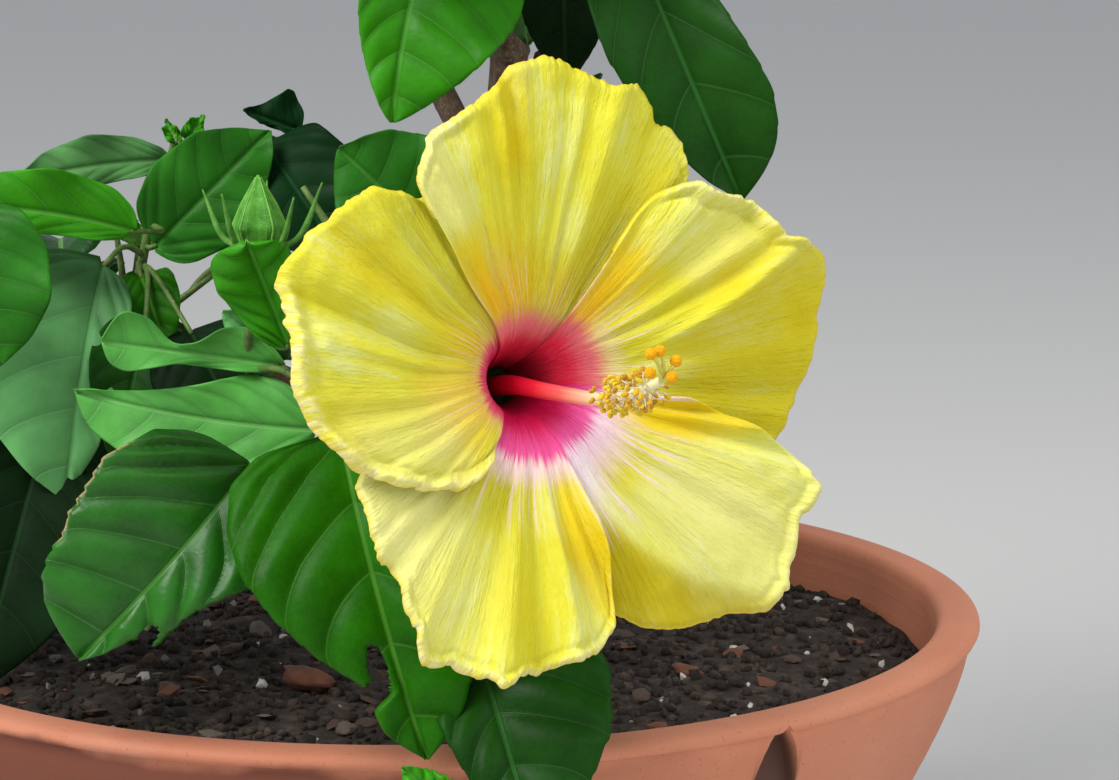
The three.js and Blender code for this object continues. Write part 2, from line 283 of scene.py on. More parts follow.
def blend_colors(material, factor, first, second):
    """From the first colour to the second; each is a colour or an output."""
    first = first if isinstance(first, bpy.types.NodeSocket) else (*first, 1)
    second = second if isinstance(second, bpy.types.NodeSocket) else (*second, 1)
    made = add_node(material, "Mix", {0: factor, 6: first, 7: second}, data_type="RGBA")
    return made.outputs[2]


def dimmed(color, share):
    """The colour at a share of its brightness."""
    return tuple(share * part for part in color)


def spotted(material, under, noise, start, end, most, color):
    """A colour laid over another where the noise is high."""
    return blend_colors(material, fade(material, noise, start, end, 0, most), under, color)


def uneven_gloss(material, noise, low, high):
    """Roughness that wanders between two values."""
    wire(material, "Roughness", fade(material, noise, 0.3, 0.7, low, high))


def relief(material, height, distance, strength=1.0, under=None):
    """A bump of a height in metres, on top of another bump if one is given."""
    inputs = {"Height": height, "Distance": distance, "Strength": strength}
    if under is not None:
        inputs["Normal"] = under
    output = add_node(material, "Bump", inputs).outputs["Normal"]
    wire(material, "Normal", output)
    return output


def two_tone(name, roughness, color, dark, mix, fine, depth, strength, stretch=1):
    """A colour mottled with a darker share of itself. mix and fine are the noises of colour and relief."""
    finish = new_finish(name, roughness, color)
    place = place_of(finish, (1, 1, stretch))
    wire(finish, "Base Color", blend_colors(finish, grain(finish, place, *mix), color, dimmed(color, dark)))
    relief(finish, grain(finish, place, *fine), depth, strength)
    return finish


def shaded(name, roughness, stops, mix, fine, depth, strength, stretch=1, specks=None, **settings):
    """Stops of colour along a noise, with a relief. specks are (scale, start, end, most, colour)."""
    finish = new_finish(name, roughness, **settings)
    place = place_of(finish, (1, 1, stretch))
    color = ramp(finish, grain(finish, place, *mix), stops)
    if specks:
        scale, *spots = specks
        color = spotted(finish, color, grain(finish, place_of(finish), scale, 2), *spots)
    wire(finish, "Base Color", color)
    relief(finish, grain(finish, place, *fine), depth, strength)
    return finish


def napped(name, roughness, low, high, scale, depth, **settings):
    """Two colours dealt out by small cells, under a nap of cells that are a little finer."""
    finish = new_finish(name, roughness, **settings)
    place = place_of(finish)
    wire(finish, "Base Color", blend_colors(finish, cells(finish, place, scale), low, high))
    relief(finish, cells(finish, place, scale + 400), depth, 0.9)
    return finish


floor.data.materials.append(new_finish("pale_floor", 0.9, FLOOR_COLOR))

# %% Mesh helpers


def smooth_noise(points, seed):
    """Random values at the whole-number corners of space, blended in between, from -1 to 1."""
    cell = np.floor(points).astype(np.int64)
    weight = (points - cell) ** 2 * (3 - 2 * (points - cell))
    total = np.zeros(len(points))
    for corner in itertools.product((0, 1), repeat=3):
        x, y, z = (cell + corner).T
        mixed = (x * 374761393 + y * 668265263 + z * 1442695041 + seed * 1274126177) & 0xFFFFFFFF
        mixed = ((mixed ^ (mixed >> 13)) * 1274126177) & 0xFFFFFFFF
        value = ((mixed ^ (mixed >> 16)) & 0xFFFF) / 32767.5 - 1
        total += value * np.prod(np.where(corner, weight, 1 - weight), axis=1)
    return total


def ramp_up(value, start, end):
    """0 below start, 1 above end, with a smooth rise."""
    part = np.clip((value - start) / (end - start), 0, 1)
    return part * part * (3 - 2 * part)


def unit(vectors):
    """Vectors of length one."""
    return vectors / np.linalg.norm(vectors, axis=-1, keepdims=True)


def grid_faces(rows, columns, closed=False):
    """Four-sided faces of a grid of points; a closed grid joins its last column to its first."""
    last = columns if closed else columns - 1
    row, column = np.meshgrid(np.arange(rows - 1), np.arange(last), indexing="ij")
    following = (column + 1) % columns
    corners = (row * columns + column, row * columns + following)
    corners += ((row + 1) * columns + following, (row + 1) * columns + column)
    return np.stack([corner.ravel() for corner in corners], axis=1).tolist()


def end_faces(rings, sides):
    """The two faces that close the ends of a closed grid."""
    return [list(range(sides))[::-1], [(rings - 1) * sides + i for i in range(sides)]]


def new_piece(name, points, faces, finishes, face_finishes=None, maps=None):
    """A shown piece from arrays. maps holds a pair of numbers for each point, by map name."""
    mesh = bpy.data.meshes.new(name)
    mesh.from_pydata(np.asarray(points).tolist(), [], faces)
    for material in finishes:
        mesh.materials.append(material)
    if face_finishes is not None:
        mesh.polygons.foreach_set("material_index", np.array(face_finishes, np.int32))
    mesh.polygons.foreach_set("use_smooth", np.ones(len(mesh.polygons), bool))
    corner_points = np.empty(len(mesh.loops), np.int32)
    mesh.loops.foreach_get("vertex_index", corner_points)
    for label, pairs in (maps or {}).items():
        layer = mesh.uv_layers.new(name=label)
        layer.data.foreach_set("uv", np.asarray(pairs, np.float32)[corner_points].ravel())
    piece = bpy.data.objects.new(name, mesh)
    bpy.context.collection.objects.link(piece)
    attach(piece, "root")
    return piece


def pick(piece):
    """Makes one piece the only selected and active one."""
    bpy.ops.object.select_all(action="DESELECT")
    piece.select_set(True)
    bpy.context.view_layer.objects.active = piece


def apply_modifier(piece, kind, **settings):
    """Adds a modifier to a piece and applies it."""
    pick(piece)
    modifier = piece.modifiers.new(kind.lower(), kind)
    for key, value in settings.items():
        setattr(modifier, key, value)
    bpy.ops.object.modifier_apply(modifier=modifier.name)
    piece.select_set(False)


def taken_apart():
    """Points and faces of the active object, which is then removed."""
    solid = bpy.context.object
    points = np.array([vertex.co[:] for vertex in solid.data.vertices])
    faces = [list(face.vertices) for face in solid.data.polygons]
    bpy.data.objects.remove(solid)
    return points, faces


class Bundle:
    """Many small meshes of one kind, to be joined into one piece."""

    def __init__(self):
        self.points = []
        self.faces = []
        self.finishes = []
        self.maps = []
        self.count = 0

    def add(self, points, faces, pairs=None, finish=0):
        """Adds one mesh. finish is a place in the list of finishes, or a list with one for each face."""
        self.points.append(points)
        self.faces += [[index + self.count for index in face] for face in faces]
        self.finishes += finish if isinstance(finish, list) else [finish] * len(faces)
        self.maps.append(np.zeros((len(points), 2)) if pairs is None else pairs)
        self.count += len(points)

    def piece(self, name, finishes, slot):
        """All the meshes as one piece."""
        maps = {"surface": np.concatenate(self.maps)}
        return new_piece(name, np.concatenate(self.points), self.faces, finishes, self.finishes, maps)


def triangles_of(piece):
    """How many triangles a piece has."""
    return sum(len(face.vertices) - 2 for face in piece.data.polygons)


print("helpers ready")

# %% [markdown]
# ## The bowl
# The real bowl is pressed clay: a cone from a flat foot to a rounded shoulder, under a rolled rim, with an
# arched grip cut on either side and three drain holes. It could be a spun outline. Here it is pulled up
# like a pot on a wheel: a disc is extruded ring by ring, up the outside, over the rim and down the inside,
# so each height and radius is a named number. The grips and holes are cut by booleans, and a small bevel
# softens the cut edges.

# %% Bowl outline
RIM_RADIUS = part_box("bowl")[1].x
BOWL_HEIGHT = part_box("bowl")[1].z
FOOT_RADIUS = 84 * MM
SHOULDER_RADIUS = 148 * MM
SHOULDER_HEIGHT = 86 * MM
WALL = 11 * MM
RIM_WIDTH = 12.5 * MM
RIM_DEPTH = 4.6 * MM
GRIP_WIDTH = 16 * MM
GRIP_HEIGHT = 24 * MM
GRIP_DEPTH = 9.5 * MM
GRIP_INTO_RIM = 2.4 * MM
GRIP_ANGLE = -52
DRAIN_RADIUS = 7 * MM
DRAIN_CIRCLE = 42 * MM
BOWL_SIDES = 160


def bent(start, corner, end, steps):
    """Points after start on a curve that is pulled towards a corner."""
    shares = np.linspace(0, 1, steps + 1)[1:, None]
    start, corner, end = (np.array(point) for point in (start, corner, end))
    return (start * (1 - shares) ** 2 + 2 * corner * shares * (1 - shares) + end * shares**2).tolist()


def bowl_rings():
    """The (radius, height) of each ring, from the foot up the outside, over the rim and down the inside."""
    under_rim = BOWL_HEIGHT - RIM_DEPTH
    inner = RIM_RADIUS - RIM_WIDTH
    lip = (RIM_RADIUS - 2.5 * MM, under_rim)
    shoulder = (SHOULDER_RADIUS, SHOULDER_HEIGHT)
    rings = [(FOOT_RADIUS, 2 * MM), (116 * MM, 44 * MM), shoulder]
    rings += bent(shoulder, (RIM_RADIUS - 3 * MM, under_rim - 12 * MM), lip, 7)
    outer = (RIM_RADIUS, under_rim + 1.6 * MM)
    rings += bent(lip, (RIM_RADIUS - 0.4 * MM, under_rim), outer, 3)
    rings += bent(outer, (RIM_RADIUS, BOWL_HEIGHT), (RIM_RADIUS - 5 * MM, BOWL_HEIGHT), 7)
    rings += bent((inner + 4 * MM, BOWL_HEIGHT), (inner, BOWL_HEIGHT), (inner, BOWL_HEIGHT - 4 * MM), 6)
    rings += [(inner - 1 * MM, SHOULDER_HEIGHT + WALL + 4 * MM), (SHOULDER_RADIUS - WALL, SHOULDER_HEIGHT)]
    rings += [(FOOT_RADIUS - 4 * MM, WALL), (DRAIN_CIRCLE * 1.4, WALL)]
    return rings


def pull_up_bowl():
    """Extrudes a disc through all the rings."""
    start = (FOOT_RADIUS - 2 * MM, 0.0)
    bpy.ops.mesh.primitive_circle_add(vertices=BOWL_SIDES, radius=start[0], fill_type="NGON")
    bpy.ops.object.mode_set(mode="EDIT")
    radius, height = start
    for next_radius, next_height in bowl_rings():
        lift = {"value": (0, 0, next_height - height)}
        bpy.ops.mesh.extrude_region_move(TRANSFORM_OT_translate=lift)
        share = next_radius / radius
        bpy.ops.transform.resize(value=(share, share, 1), center_override=(0, 0, next_height))
        radius, height = next_radius, next_height
    bpy.ops.mesh.select_all(action="SELECT")
    bpy.ops.mesh.normals_make_consistent(inside=False)
    bpy.ops.object.mode_set(mode="OBJECT")
    return bpy.context.object


# %% Grips and drain holes


def grip_cutter(angle):
    """An arch, turned up from a half-round outline with a slightly pointed top, pushed in from outside."""
    half = GRIP_WIDTH / 2
    arch = [(-half, 0.0), (half, 0.0)]
    arch += bent((half, 0.0), (half, GRIP_HEIGHT * 0.75), (0.0, GRIP_HEIGHT), 7)
    arch += bent((0.0, GRIP_HEIGHT), (-half, GRIP_HEIGHT * 0.75), (-half, 0.0), 7)[:-1]
    base = BOWL_HEIGHT - RIM_DEPTH + GRIP_INTO_RIM - GRIP_HEIGHT
    out = Vector((math.cos(angle), math.sin(angle), 0))
    along = Vector((-math.sin(angle), math.cos(angle), 0))
    near = out * (RIM_RADIUS - GRIP_DEPTH)
    points = [near + along * x + Vector((0, 0, base + z)) for x, z in arch]
    mesh = bpy.data.meshes.new("grip_cutter")
    mesh.from_pydata(points, [], [list(range(len(points)))])
    cutter = bpy.data.objects.new("grip_cutter", mesh)
    bpy.context.collection.objects.link(cutter)
    pick(cutter)
    bpy.ops.object.mode_set(mode="EDIT")
    bpy.ops.mesh.select_all(action="SELECT")
    bpy.ops.mesh.extrude_region_move(TRANSFORM_OT_translate={"value": out * 40 * MM})
    bpy.ops.mesh.select_all(action="SELECT")
    bpy.ops.mesh.normals_make_consistent(inside=False)
    bpy.ops.object.mode_set(mode="OBJECT")
    return cutter


def drill_cutter(angle):
    """A rod through the bowl's floor, for one drain hole."""
    place = (DRAIN_CIRCLE * math.cos(angle), DRAIN_CIRCLE * math.sin(angle), WALL / 2)
    bpy.ops.mesh.primitive_cylinder_add(vertices=32, radius=DRAIN_RADIUS, depth=3 * WALL, location=place)
    return bpy.context.object


bowl = pull_up_bowl()
bowl.name = "clay_bowl"
cutters = [grip_cutter(math.radians(GRIP_ANGLE + turn)) for turn in (0, 180)]
cutters += [drill_cutter(math.radians(30 + 120 * i)) for i in range(3)]
for cutter in cutters:
    apply_modifier(bowl, "BOOLEAN", operation="DIFFERENCE", object=cutter, solver="EXACT")
    bpy.data.objects.remove(cutter)
apply_modifier(bowl, "BEVEL", width=0.7 * MM, segments=2, limit_method="ANGLE", angle_limit=math.radians(50))
pick(bowl)
bpy.ops.object.shade_smooth_by_angle(angle=math.radians(40))
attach(bowl, "root")
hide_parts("bowl")
print("bowl triangles", triangles_of(bowl))

# %% [markdown]
# ## Terracotta
# Fired clay is matte and never one flat colour: it has broad patches, fine specks of grit, faint level
# lines from the wheel, and pale salts where water dried. Below the rim, mostly at the left, painted shade
# makes it darker and browner, and painted shade darkens the hollows of the grips. All of it is noise on
# object coordinates, so that it stays at the same size everywhere.

# %% Terracotta finish
# painted shade: below the rim, mostly at the left, where the plant and the rim's underside shade the clay
PAINTED_SHADE_CLAY = (0.17, 0.042, 0.020)
# painted shade in the hollows of the grips
GRIP_SHADE_COLOR = (0.060, 0.028, 0.018)
MOST_GRIP_SHADE = 0.92


def painted_shade_below_rim(clay, place):
    """How much painted shade the clay gets: most below the rim at the left, less above and at the right,
    ragged between.
    """
    right, _, height = add_node(clay, "SeparateXYZ", {"Vector": place}).outputs
    ragged = arithmetic(clay, "MULTIPLY_ADD", grain(clay, place, 22, 4), 0.05, -0.025)
    ragged_height = arithmetic(clay, "MULTIPLY_ADD", ragged, 0.4, height)
    below = fade(clay, ragged_height, 0.1225, 0.1265, 0.95, 0.30)
    sideways = fade(clay, arithmetic(clay, "ADD", right, ragged), -0.03, 0.09, 1, 0.22)
    return product(clay, below, sideways)


def distance_at(clay, angle, right, back):
    """How far a place lies from the bowl's middle line, either way, along the direction at an angle."""
    along = weighted_sum(clay, (right, math.cos(angle)), (back, math.sin(angle)))
    return arithmetic(clay, "ABSOLUTE", along)


def painted_grip_shade(clay, place):
    """How far inside one of the two grips a place lies, where painted shade darkens the clay."""
    right, back, height = add_node(clay, "SeparateXYZ", {"Vector": place}).outputs
    out = distance_at(clay, math.radians(GRIP_ANGLE), right, back)
    across = distance_at(clay, math.radians(GRIP_ANGLE + 90), right, back)
    back_wall = RIM_RADIUS - GRIP_DEPTH
    half = GRIP_WIDTH / 2
    behind = fade(clay, out, back_wall - 1.5 * MM, back_wall - 0.5 * MM)
    deep = fade(clay, out, back_wall + 1.5 * MM, back_wall + 7 * MM, 1, 0)
    between = fade(clay, across, half - 0.5 * MM, half + 0.6 * MM, 1, 0)
    above = fade(clay, height, BOWL_HEIGHT - 30 * MM, BOWL_HEIGHT - 20 * MM)
    below = fade(clay, height, BOWL_HEIGHT - 4.5 * MM, BOWL_HEIGHT - 2.2 * MM, 1, 0)
    return product(clay, MOST_GRIP_SHADE, behind, deep, between, above, below)


def terracotta():
    """Fired clay with patches, specks, salts, painted shade and the fine lines of the wheel."""
    clay = new_finish("terracotta", 0.72)
    place = place_of(clay)
    patches = grain(clay, place, 14, 4)
    base = ramp(clay, patches, [
        (0.25, (0.62, 0.205, 0.105)), (0.5, (0.72, 0.265, 0.145)), (0.75, (0.78, 0.33, 0.20))])
    speckled = spotted(clay, base, grain(clay, place, 900, 2), 0.62, 0.75, 0.45, (0.36, 0.12, 0.06))
    salts = product(clay, grain(clay, place, 38, 5, 0.65), grain(clay, place, 9, 2))
    salted = spotted(clay, speckled, salts, 0.3, 0.48, 0.4, (0.80, 0.56, 0.44))
    rim_shaded = blend_colors(clay, painted_shade_below_rim(clay, place), salted, PAINTED_SHADE_CLAY)
    wire(clay, "Base Color", blend_colors(clay, painted_grip_shade(clay, place), rim_shaded, GRIP_SHADE_COLOR))
    uneven_gloss(clay, patches, 0.62, 0.82)
    lines = grain(clay, place_of(clay, (3, 3, 420)), 1, 2)
    under = relief(clay, lines, 0.00035, 0.5)
    relief(clay, grain(clay, place, 1400, 3), 0.00015, 0.6, under)
    return clay


bowl.data.materials.clear()
bowl.data.materials.append(terracotta())

# %% [markdown]
# ## The soil
# Potting soil is a crumbly crust: a bumpy top, thousands of dark crumbs, flakes of reddish bark and a few
# pale stones. The top is a disc of rings whose heights come from noise, closed below inside the bowl. The
# crumbs are one small lump made once and repeated with its own size and turn, joined into one piece.

# %% Soil body
SOIL_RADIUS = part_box("soil")[1].x
SOIL_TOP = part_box("soil")[1].z
SOIL_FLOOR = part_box("soil")[0].z
SOIL_RINGS = 90
SOIL_SIDES = 200


def soil_height(x, y):
    """The height of the crust, a little lower towards the rim."""
    flat = np.stack((np.ravel(x), np.ravel(y), np.zeros(np.size(x))), axis=1)
    height = 1.6 * smooth_noise(flat / (22 * MM), 3) + 0.8 * smooth_noise(flat / (7 * MM), 4)
    height += 0.45 * smooth_noise(flat / (2.6 * MM), 5)
    drop = 2.2 * ramp_up(np.hypot(np.ravel(x), np.ravel(y)), 0.6 * SOIL_RADIUS, SOIL_RADIUS)
    return SOIL_TOP + (height - drop - 0.6) * MM


def soil_body(finish):
    """The whole of the soil: its bumpy top and the closed body below."""
    rings = np.linspace(0.002, 1, SOIL_RINGS)[:, None] * SOIL_RADIUS
    angles = np.linspace(0, 2 * math.pi, SOIL_SIDES, endpoint=False)[None, :]
    x, y = rings * np.cos(angles), rings * np.sin(angles)
    top = np.stack((x.ravel(), y.ravel(), soil_height(x, y)), axis=1)
    circle = np.stack((np.cos(angles[0]), np.sin(angles[0]), np.zeros(SOIL_SIDES)), axis=1)
    below = [circle * (SOIL_RADIUS - 1 * MM) + (0, 0, SHOULDER_HEIGHT + WALL)]
    below.append(circle * (FOOT_RADIUS - 6 * MM) + (0, 0, SOIL_FLOOR))
    faces = grid_faces(SOIL_RINGS + 2, SOIL_SIDES, closed=True) + end_faces(SOIL_RINGS + 2, SOIL_SIDES)
    points = np.concatenate([top, *below])
    piece = new_piece("soil_crust", points, [face[::-1] for face in faces], [finish])
    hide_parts("soil")
    return piece


EARTH_STOPS = [(0.3, (0.010, 0.007, 0.006)), (0.5, (0.034, 0.023, 0.017)), (0.66, (0.090, 0.062, 0.045)),
               (0.8, (0.19, 0.14, 0.11))]
earth_finish = shaded(
    "dark_earth", 0.95, EARTH_STOPS, (160, 5, 0.7), (420, 5, 0.7), depth=0.0016, strength=0.9)
soil = soil_body(earth_finish)
print("soil triangles", triangles_of(soil))

# %% Crumbs, bark flakes and stones


def lump_shape(detail=1):
    """One rounded lump, as points and faces; it has twenty faces at the lowest detail."""
    bpy.ops.mesh.primitive_ico_sphere_add(subdivisions=detail, radius=1)
    return taken_apart()


def turned_at_random(points, random):
    """The points turned by a random rotation."""
    turn, _ = np.linalg.qr(random.normal(size=(3, 3)))
    return points @ (turn * np.sign(np.linalg.det(turn)))


def scattered(name, finish_list, seed, count, sizes, squash, reach):
    """Lumps strewn over the soil: sizes and squash are (low, high) in millimetres and shares."""
    random = np.random.default_rng(seed)
    points, faces = lump_shape()
    bundle = Bundle()
    for _ in range(count):
        angle = random.uniform(0, 2 * math.pi)
        radius = SOIL_RADIUS * reach * math.sqrt(random.uniform(0, 1))
        x, y = radius * math.cos(angle), radius * math.sin(angle)
        size = random.uniform(*sizes) * MM
        shape = points * random.uniform(0.55, 1.35, (len(points), 1))
        shape = shape * (1, random.uniform(0.6, 1), random.uniform(*squash))
        lean = turned_at_random(shape, random) if squash[0] > 0.4 else shape @ tilt_flat(random)
        place = (x, y, soil_height(x, y)[0] + 0.2 * size)
        bundle.add(lean * size + place, faces, finish=int(random.integers(len(finish_list))))
    return bundle.piece(name, finish_list, "soil")


def on_soil(pixel):
    """The point of the soil that is seen at a pixel."""
    far = at_pixel(pixel, 0)
    share = (CAMERA_PLACE[2] - SOIL_TOP) / (CAMERA_PLACE[2] - far[2])
    return CAMERA_PLACE + share * (far - CAMERA_PLACE)


def large_chips(finish_list):
    """The few large chips of bark, where the photograph has them."""
    random = np.random.default_rng(14)
    points, faces = lump_shape(3)
    bundle = Bundle()
    for index, (pixel, size, finish) in enumerate(CHIPS):
        broad, fine = smooth_noise(points * 1.3, 70 + index), smooth_noise(points * 4, 80 + index)
        shape = points * (1 + 0.30 * broad + 0.12 * fine)[:, None] * (1, 0.55, 0.30) @ tilt_flat(random)
        x, y, _ = on_soil(pixel)
        place = (x, y, soil_height(x, y)[0] + 0.15 * size * MM)
        bundle.add(shape * size * MM + place, faces, finish=finish)
    return bundle.piece("bark_chips", finish_list, "soil")


def tilt_flat(random):
    """A turn about the upright axis with a small lean, for flakes that lie down."""
    turn = random.uniform(0, 2 * math.pi)
    lean = random.normal(0, 0.25)
    spin = np.array([[math.cos(turn), math.sin(turn), 0], [-math.sin(turn), math.cos(turn), 0], [0, 0, 1]])
    tip = np.array([[1, 0, 0], [0, math.cos(lean), math.sin(lean)], [0, -math.sin(lean), math.cos(lean)]])
    return tip @ spin


def bark_flake_finish(name, color):
    """Dry bark, with dark layers in it."""
    return two_tone(name, 0.8, color, 0.35, (240, 4), (500, 3), depth=0.0006, strength=0.6, stretch=3)


def stone_finish(name, color):
    """A dusty little stone."""
    return two_tone(name, 0.6, color, 0.6, (300, 3), (900, 3), depth=0.0002, strength=0.5)


# pixel in the photograph, half length in mm, and place of the finish in the list of flake finishes
CHIPS = [((308, 686), 12, 0), ((262, 630), 6, 2), ((232, 652), 5, 1), ((346, 730), 5, 2),
         ((366, 724), 4, 1), ((170, 690), 6, 1), ((122, 668), 5, 2), ((690, 672), 6, 0), ((640, 700), 5, 1)]
flake_finishes = [
    bark_flake_finish("red_bark", (0.21, 0.075, 0.035)),
    bark_flake_finish("brown_bark", (0.10, 0.055, 0.035)),
    bark_flake_finish("grey_bark", (0.17, 0.13, 0.10)),
]
stone_finishes = [
    stone_finish("white_stone", (0.72, 0.70, 0.66)),
    stone_finish("grey_stone", (0.30, 0.29, 0.27)),
]
crumbs = scattered("soil_crumbs", [earth_finish], 11, 3600, (0.7, 2.6), (0.6, 1), 0.985)
flakes = scattered("bark_flakes", flake_finishes, 12, 200, (1.5, 4.2), (0.16, 0.38), 0.95)
stones = scattered("small_stones", stone_finishes, 13, 110, (0.8, 2.2), (0.6, 0.95), 0.96)
for piece in (flakes, stones):
    pick(piece)
    bpy.ops.object.shade_flat()
large_chips(flake_finishes)
print("soil bits", triangles_of(crumbs), triangles_of(flakes), triangles_of(stones))

# %% [markdown]
# ## Stem and boughs
# The stem leaves the soil with a slight flare and forks into woody boughs that taper into each mass of
# leaves. A curve with a bevel would give smooth hoses. Real bark has ridges along the limb, corky specks
# and a swelling at each old leaf node, so each limb is a tube of rings round a smooth route, and every ring
# point is moved in or out by noise that is stretched along the limb.

# %% Routes and tubes


def plant_point(x, y, height):
    """A point of the plant, given in millimetres with its height above the soil."""
    return np.array((x * MM, y * MM, SOIL_LEVEL + height * MM))


def route_through(points, spacing):
    """A smooth route through the points, with a point at every spacing."""
    points = np.asarray(points, float)
    ends = np.concatenate(([2 * points[0] - points[1]], points, [2 * points[-1] - points[-2]]))
    share = np.linspace(0, 1, 24, endpoint=False)[:, None]
    stretches = []
    for before, start, end, after in zip(ends, ends[1:], ends[2:], ends[3:]):
        pull = 2 * before - 5 * start + 4 * end - after
        bend = -before + 3 * start - 3 * end + after
        stretches.append(0.5 * (2 * start + (end - before) * share + pull * share**2 + bend * share**3))
    dense = np.concatenate([*stretches, points[-1:]])
    walked = np.concatenate(([0], np.cumsum(np.linalg.norm(np.diff(dense, axis=0), axis=1))))
    steps = max(3, int(round(walked[-1] / spacing)) + 1)
    wanted = np.linspace(0, walked[-1], steps)
    return np.stack([np.interp(wanted, walked, dense[:, axis]) for axis in range(3)], axis=1)


def route_frames(route):
    """The direction of a route at each point, with two directions across it that don't twist."""
    along = unit(np.gradient(route, axis=0))
    side = np.cross(along[0], (0.0, 0.0, 1.0) if abs(along[0][2]) < 0.9 else (1.0, 0.0, 0.0))
    sides = []
    for direction in along:
        side = side - direction * (side @ direction)
        side = side / np.linalg.norm(side)
        sides.append(side)
    sides = np.array(sides)
    return along, sides, np.cross(along, sides)


def tube(route, radii, sides):
    """A closed tube round a route: its points, faces and a map of (turn, share of length)."""
    _, side, up = route_frames(route)
    turn = np.linspace(0, 2 * math.pi, sides, endpoint=False)
    radii = np.asarray(radii).reshape(len(route), -1)[:, :, None]
    across = np.cos(turn)[None, :, None] * side[:, None, :] + np.sin(turn)[None, :, None] * up[:, None, :]
    points = (route[:, None, :] + across * radii).reshape(-1, 3)
    faces = grid_faces(len(route), sides, closed=True) + end_faces(len(route), sides)
    share = np.repeat(np.linspace(0, 1, len(route)), sides)
    return points, faces, np.stack((np.tile(turn / (2 * math.pi), len(route)), share), axis=1)


def tapered(route, radii, sides, places=(0, 1)):
    """A tube whose radii, in mm, are given at shares of its length."""
    return tube(route, np.interp(np.linspace(0, 1, len(route)), places, radii) * MM, sides)


def around(turn, right, up):
    """The direction at a turn, from two directions at right angles."""
    return math.cos(turn) * right + math.sin(turn) * up


# %% The limbs

# points are mm, with the height above the soil; radii are those of both ends, and flare widens the first
LIMBS = {
    "trunk": dict(
        points=[(16.5, 22, 0), (15, 16, 22), (15, 12, 44), (17, 8, 60)], radii=(9.5, 7.5), flare=6),
    "bough_leader": dict(
        points=[(17, 8, 50), (23, 3, 110), (28.5, 0, 178), (27, 6, 250), (24, 10, 330)], radii=(6.8, 3.6)),
    "bough_front": dict(
        points=[(17, 8, 50), (15, -28, 66), (9, -60, 75), (4, -84, 80)], radii=(5.2, 2.6)),
    "bough_left": dict(
        points=[(16, 9, 44), (-14, 2, 66), (-40, -12, 84), (-80, -30, 96)], radii=(5.2, 2.8)),
    "bough_back": dict(
        points=[(16, 10, 42), (26, 38, 62), (38, 70, 84), (44, 100, 100)], radii=(5.2, 2.8)),
    "bough_upper_left": dict(
        points=[(25, 2, 130), (6, 8, 168), (-24, 16, 214), (-60, 24, 250)], radii=(4.2, 2.4)),
    "bough_upper_right": dict(
        points=[(27, 1, 150), (48, 6, 186), (74, 12, 224), (100, 18, 256)], radii=(4.2, 2.4)),
    "bough_upper_front": dict(
        points=[(28, 0, 170), (28, -20, 194), (27, -45, 220), (27, -80, 245)], radii=(4, 2.4)),
    "bough_upper_back": dict(
        points=[(28, 1, 186), (27, 30, 214), (24, 60, 238), (22, 100, 262)], radii=(4, 2.4)),
    "bough_front_left": dict(
        points=[(9, -62, 75.5), (-8, -82, 78), (-26, -108, 75), (-42, -140, 66)], radii=(2.4, 1.5),
        green=True),
    "bough_under_bloom": dict(
        points=[(5, -78, 79), (12, -96, 68), (22, -120, 52), (34, -148, 40)], radii=(2.2, 1.5), green=True),
    "bough_behind_bloom": dict(
        points=[(10, -56, 74), (4, -62, 88), (-4, -72, 106), (-12, -80, 124)], radii=(2.4, 1.5), green=True),
}
RING_SPACING = 1.6 * MM
NODE_SPACING = 17 * MM


def bark_relief(points):
    """How far bark stands out: long ridges, corky specks and a broad unevenness, as a share of the radius."""
    ridges = smooth_noise(points / (np.array((2.2, 2.2, 11)) * MM), 21)
    specks = ramp_up(smooth_noise(points / (np.array((1.5, 1.5, 2.4)) * MM), 22), 0.45, 0.8)
    broad = smooth_noise(points / (14 * MM), 23)
    return 0.045 * ridges + 0.07 * specks + 0.06 * broad


def limb_radii(spec, route, sides, calm):
    """The radius of each point of a limb, with its flare, leaf nodes and bark."""
    share = np.linspace(0, 1, len(route))
    radius = np.interp(share, (0, 1), spec["radii"]) + spec.get("flare", 0) * (1 - share) ** 5
    distance = share * len(route) * RING_SPACING
    swelling = 0.14 * np.exp(-((((distance / NODE_SPACING) % 1) - 0.5) / 0.09) ** 2)
    radius = radius * (1 + swelling) * MM
    plain, _, _ = tube(route, radius, sides)
    return radius[:, None] * (1 + calm * bark_relief(plain).reshape(len(route), sides))


BARK_STOPS = [(0.3, (0.055, 0.032, 0.020)), (0.5, (0.125, 0.078, 0.048)), (0.7, (0.24, 0.17, 0.115))]
CORK_SPECKS = (700, 0.62, 0.72, 0.7, (0.36, 0.29, 0.21))
TWIG_STOPS = [(0.3, (0.060, 0.105, 0.022)), (0.55, (0.105, 0.20, 0.035)), (0.8, (0.20, 0.25, 0.07))]
TWIG_SPECKS = (1100, 0.66, 0.74, 0.6, (0.42, 0.40, 0.22))
bark = shaded(
    "grey_brown_bark", 0.85, BARK_STOPS, (420, 5, 0.65), (900, 4), depth=0.0007, strength=0.8, stretch=0.3,
    specks=CORK_SPECKS)
green_bark = shaded(
    "green_twig", 0.5, TWIG_STOPS, (260, 4), (1500, 3), depth=0.0003, strength=0.6, specks=TWIG_SPECKS)

# the points of all wood so far, where a stalk may start
wood_points = []
for name, spec in LIMBS.items():
    green = spec.get("green", False)
    finish, slot, sides, calm = (green_bark, "green_stem", 14, 0.35) if green else (bark, "bark", 26, 1.0)
    route = route_through([plant_point(*point) for point in spec["points"]], RING_SPACING)
    points, faces, _ = tube(route, limb_radii(spec, route, sides, calm), sides)
    limb = new_piece(name + "_wood", points, faces, [finish])
    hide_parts(name)
    wood_points.append(route[len(route) // 3:])
wood_pieces = [piece for piece in bpy.data.objects if piece.name.endswith("_wood")]
print("limbs", len(LIMBS), "triangles", sum(triangles_of(piece) for piece in wood_pieces))

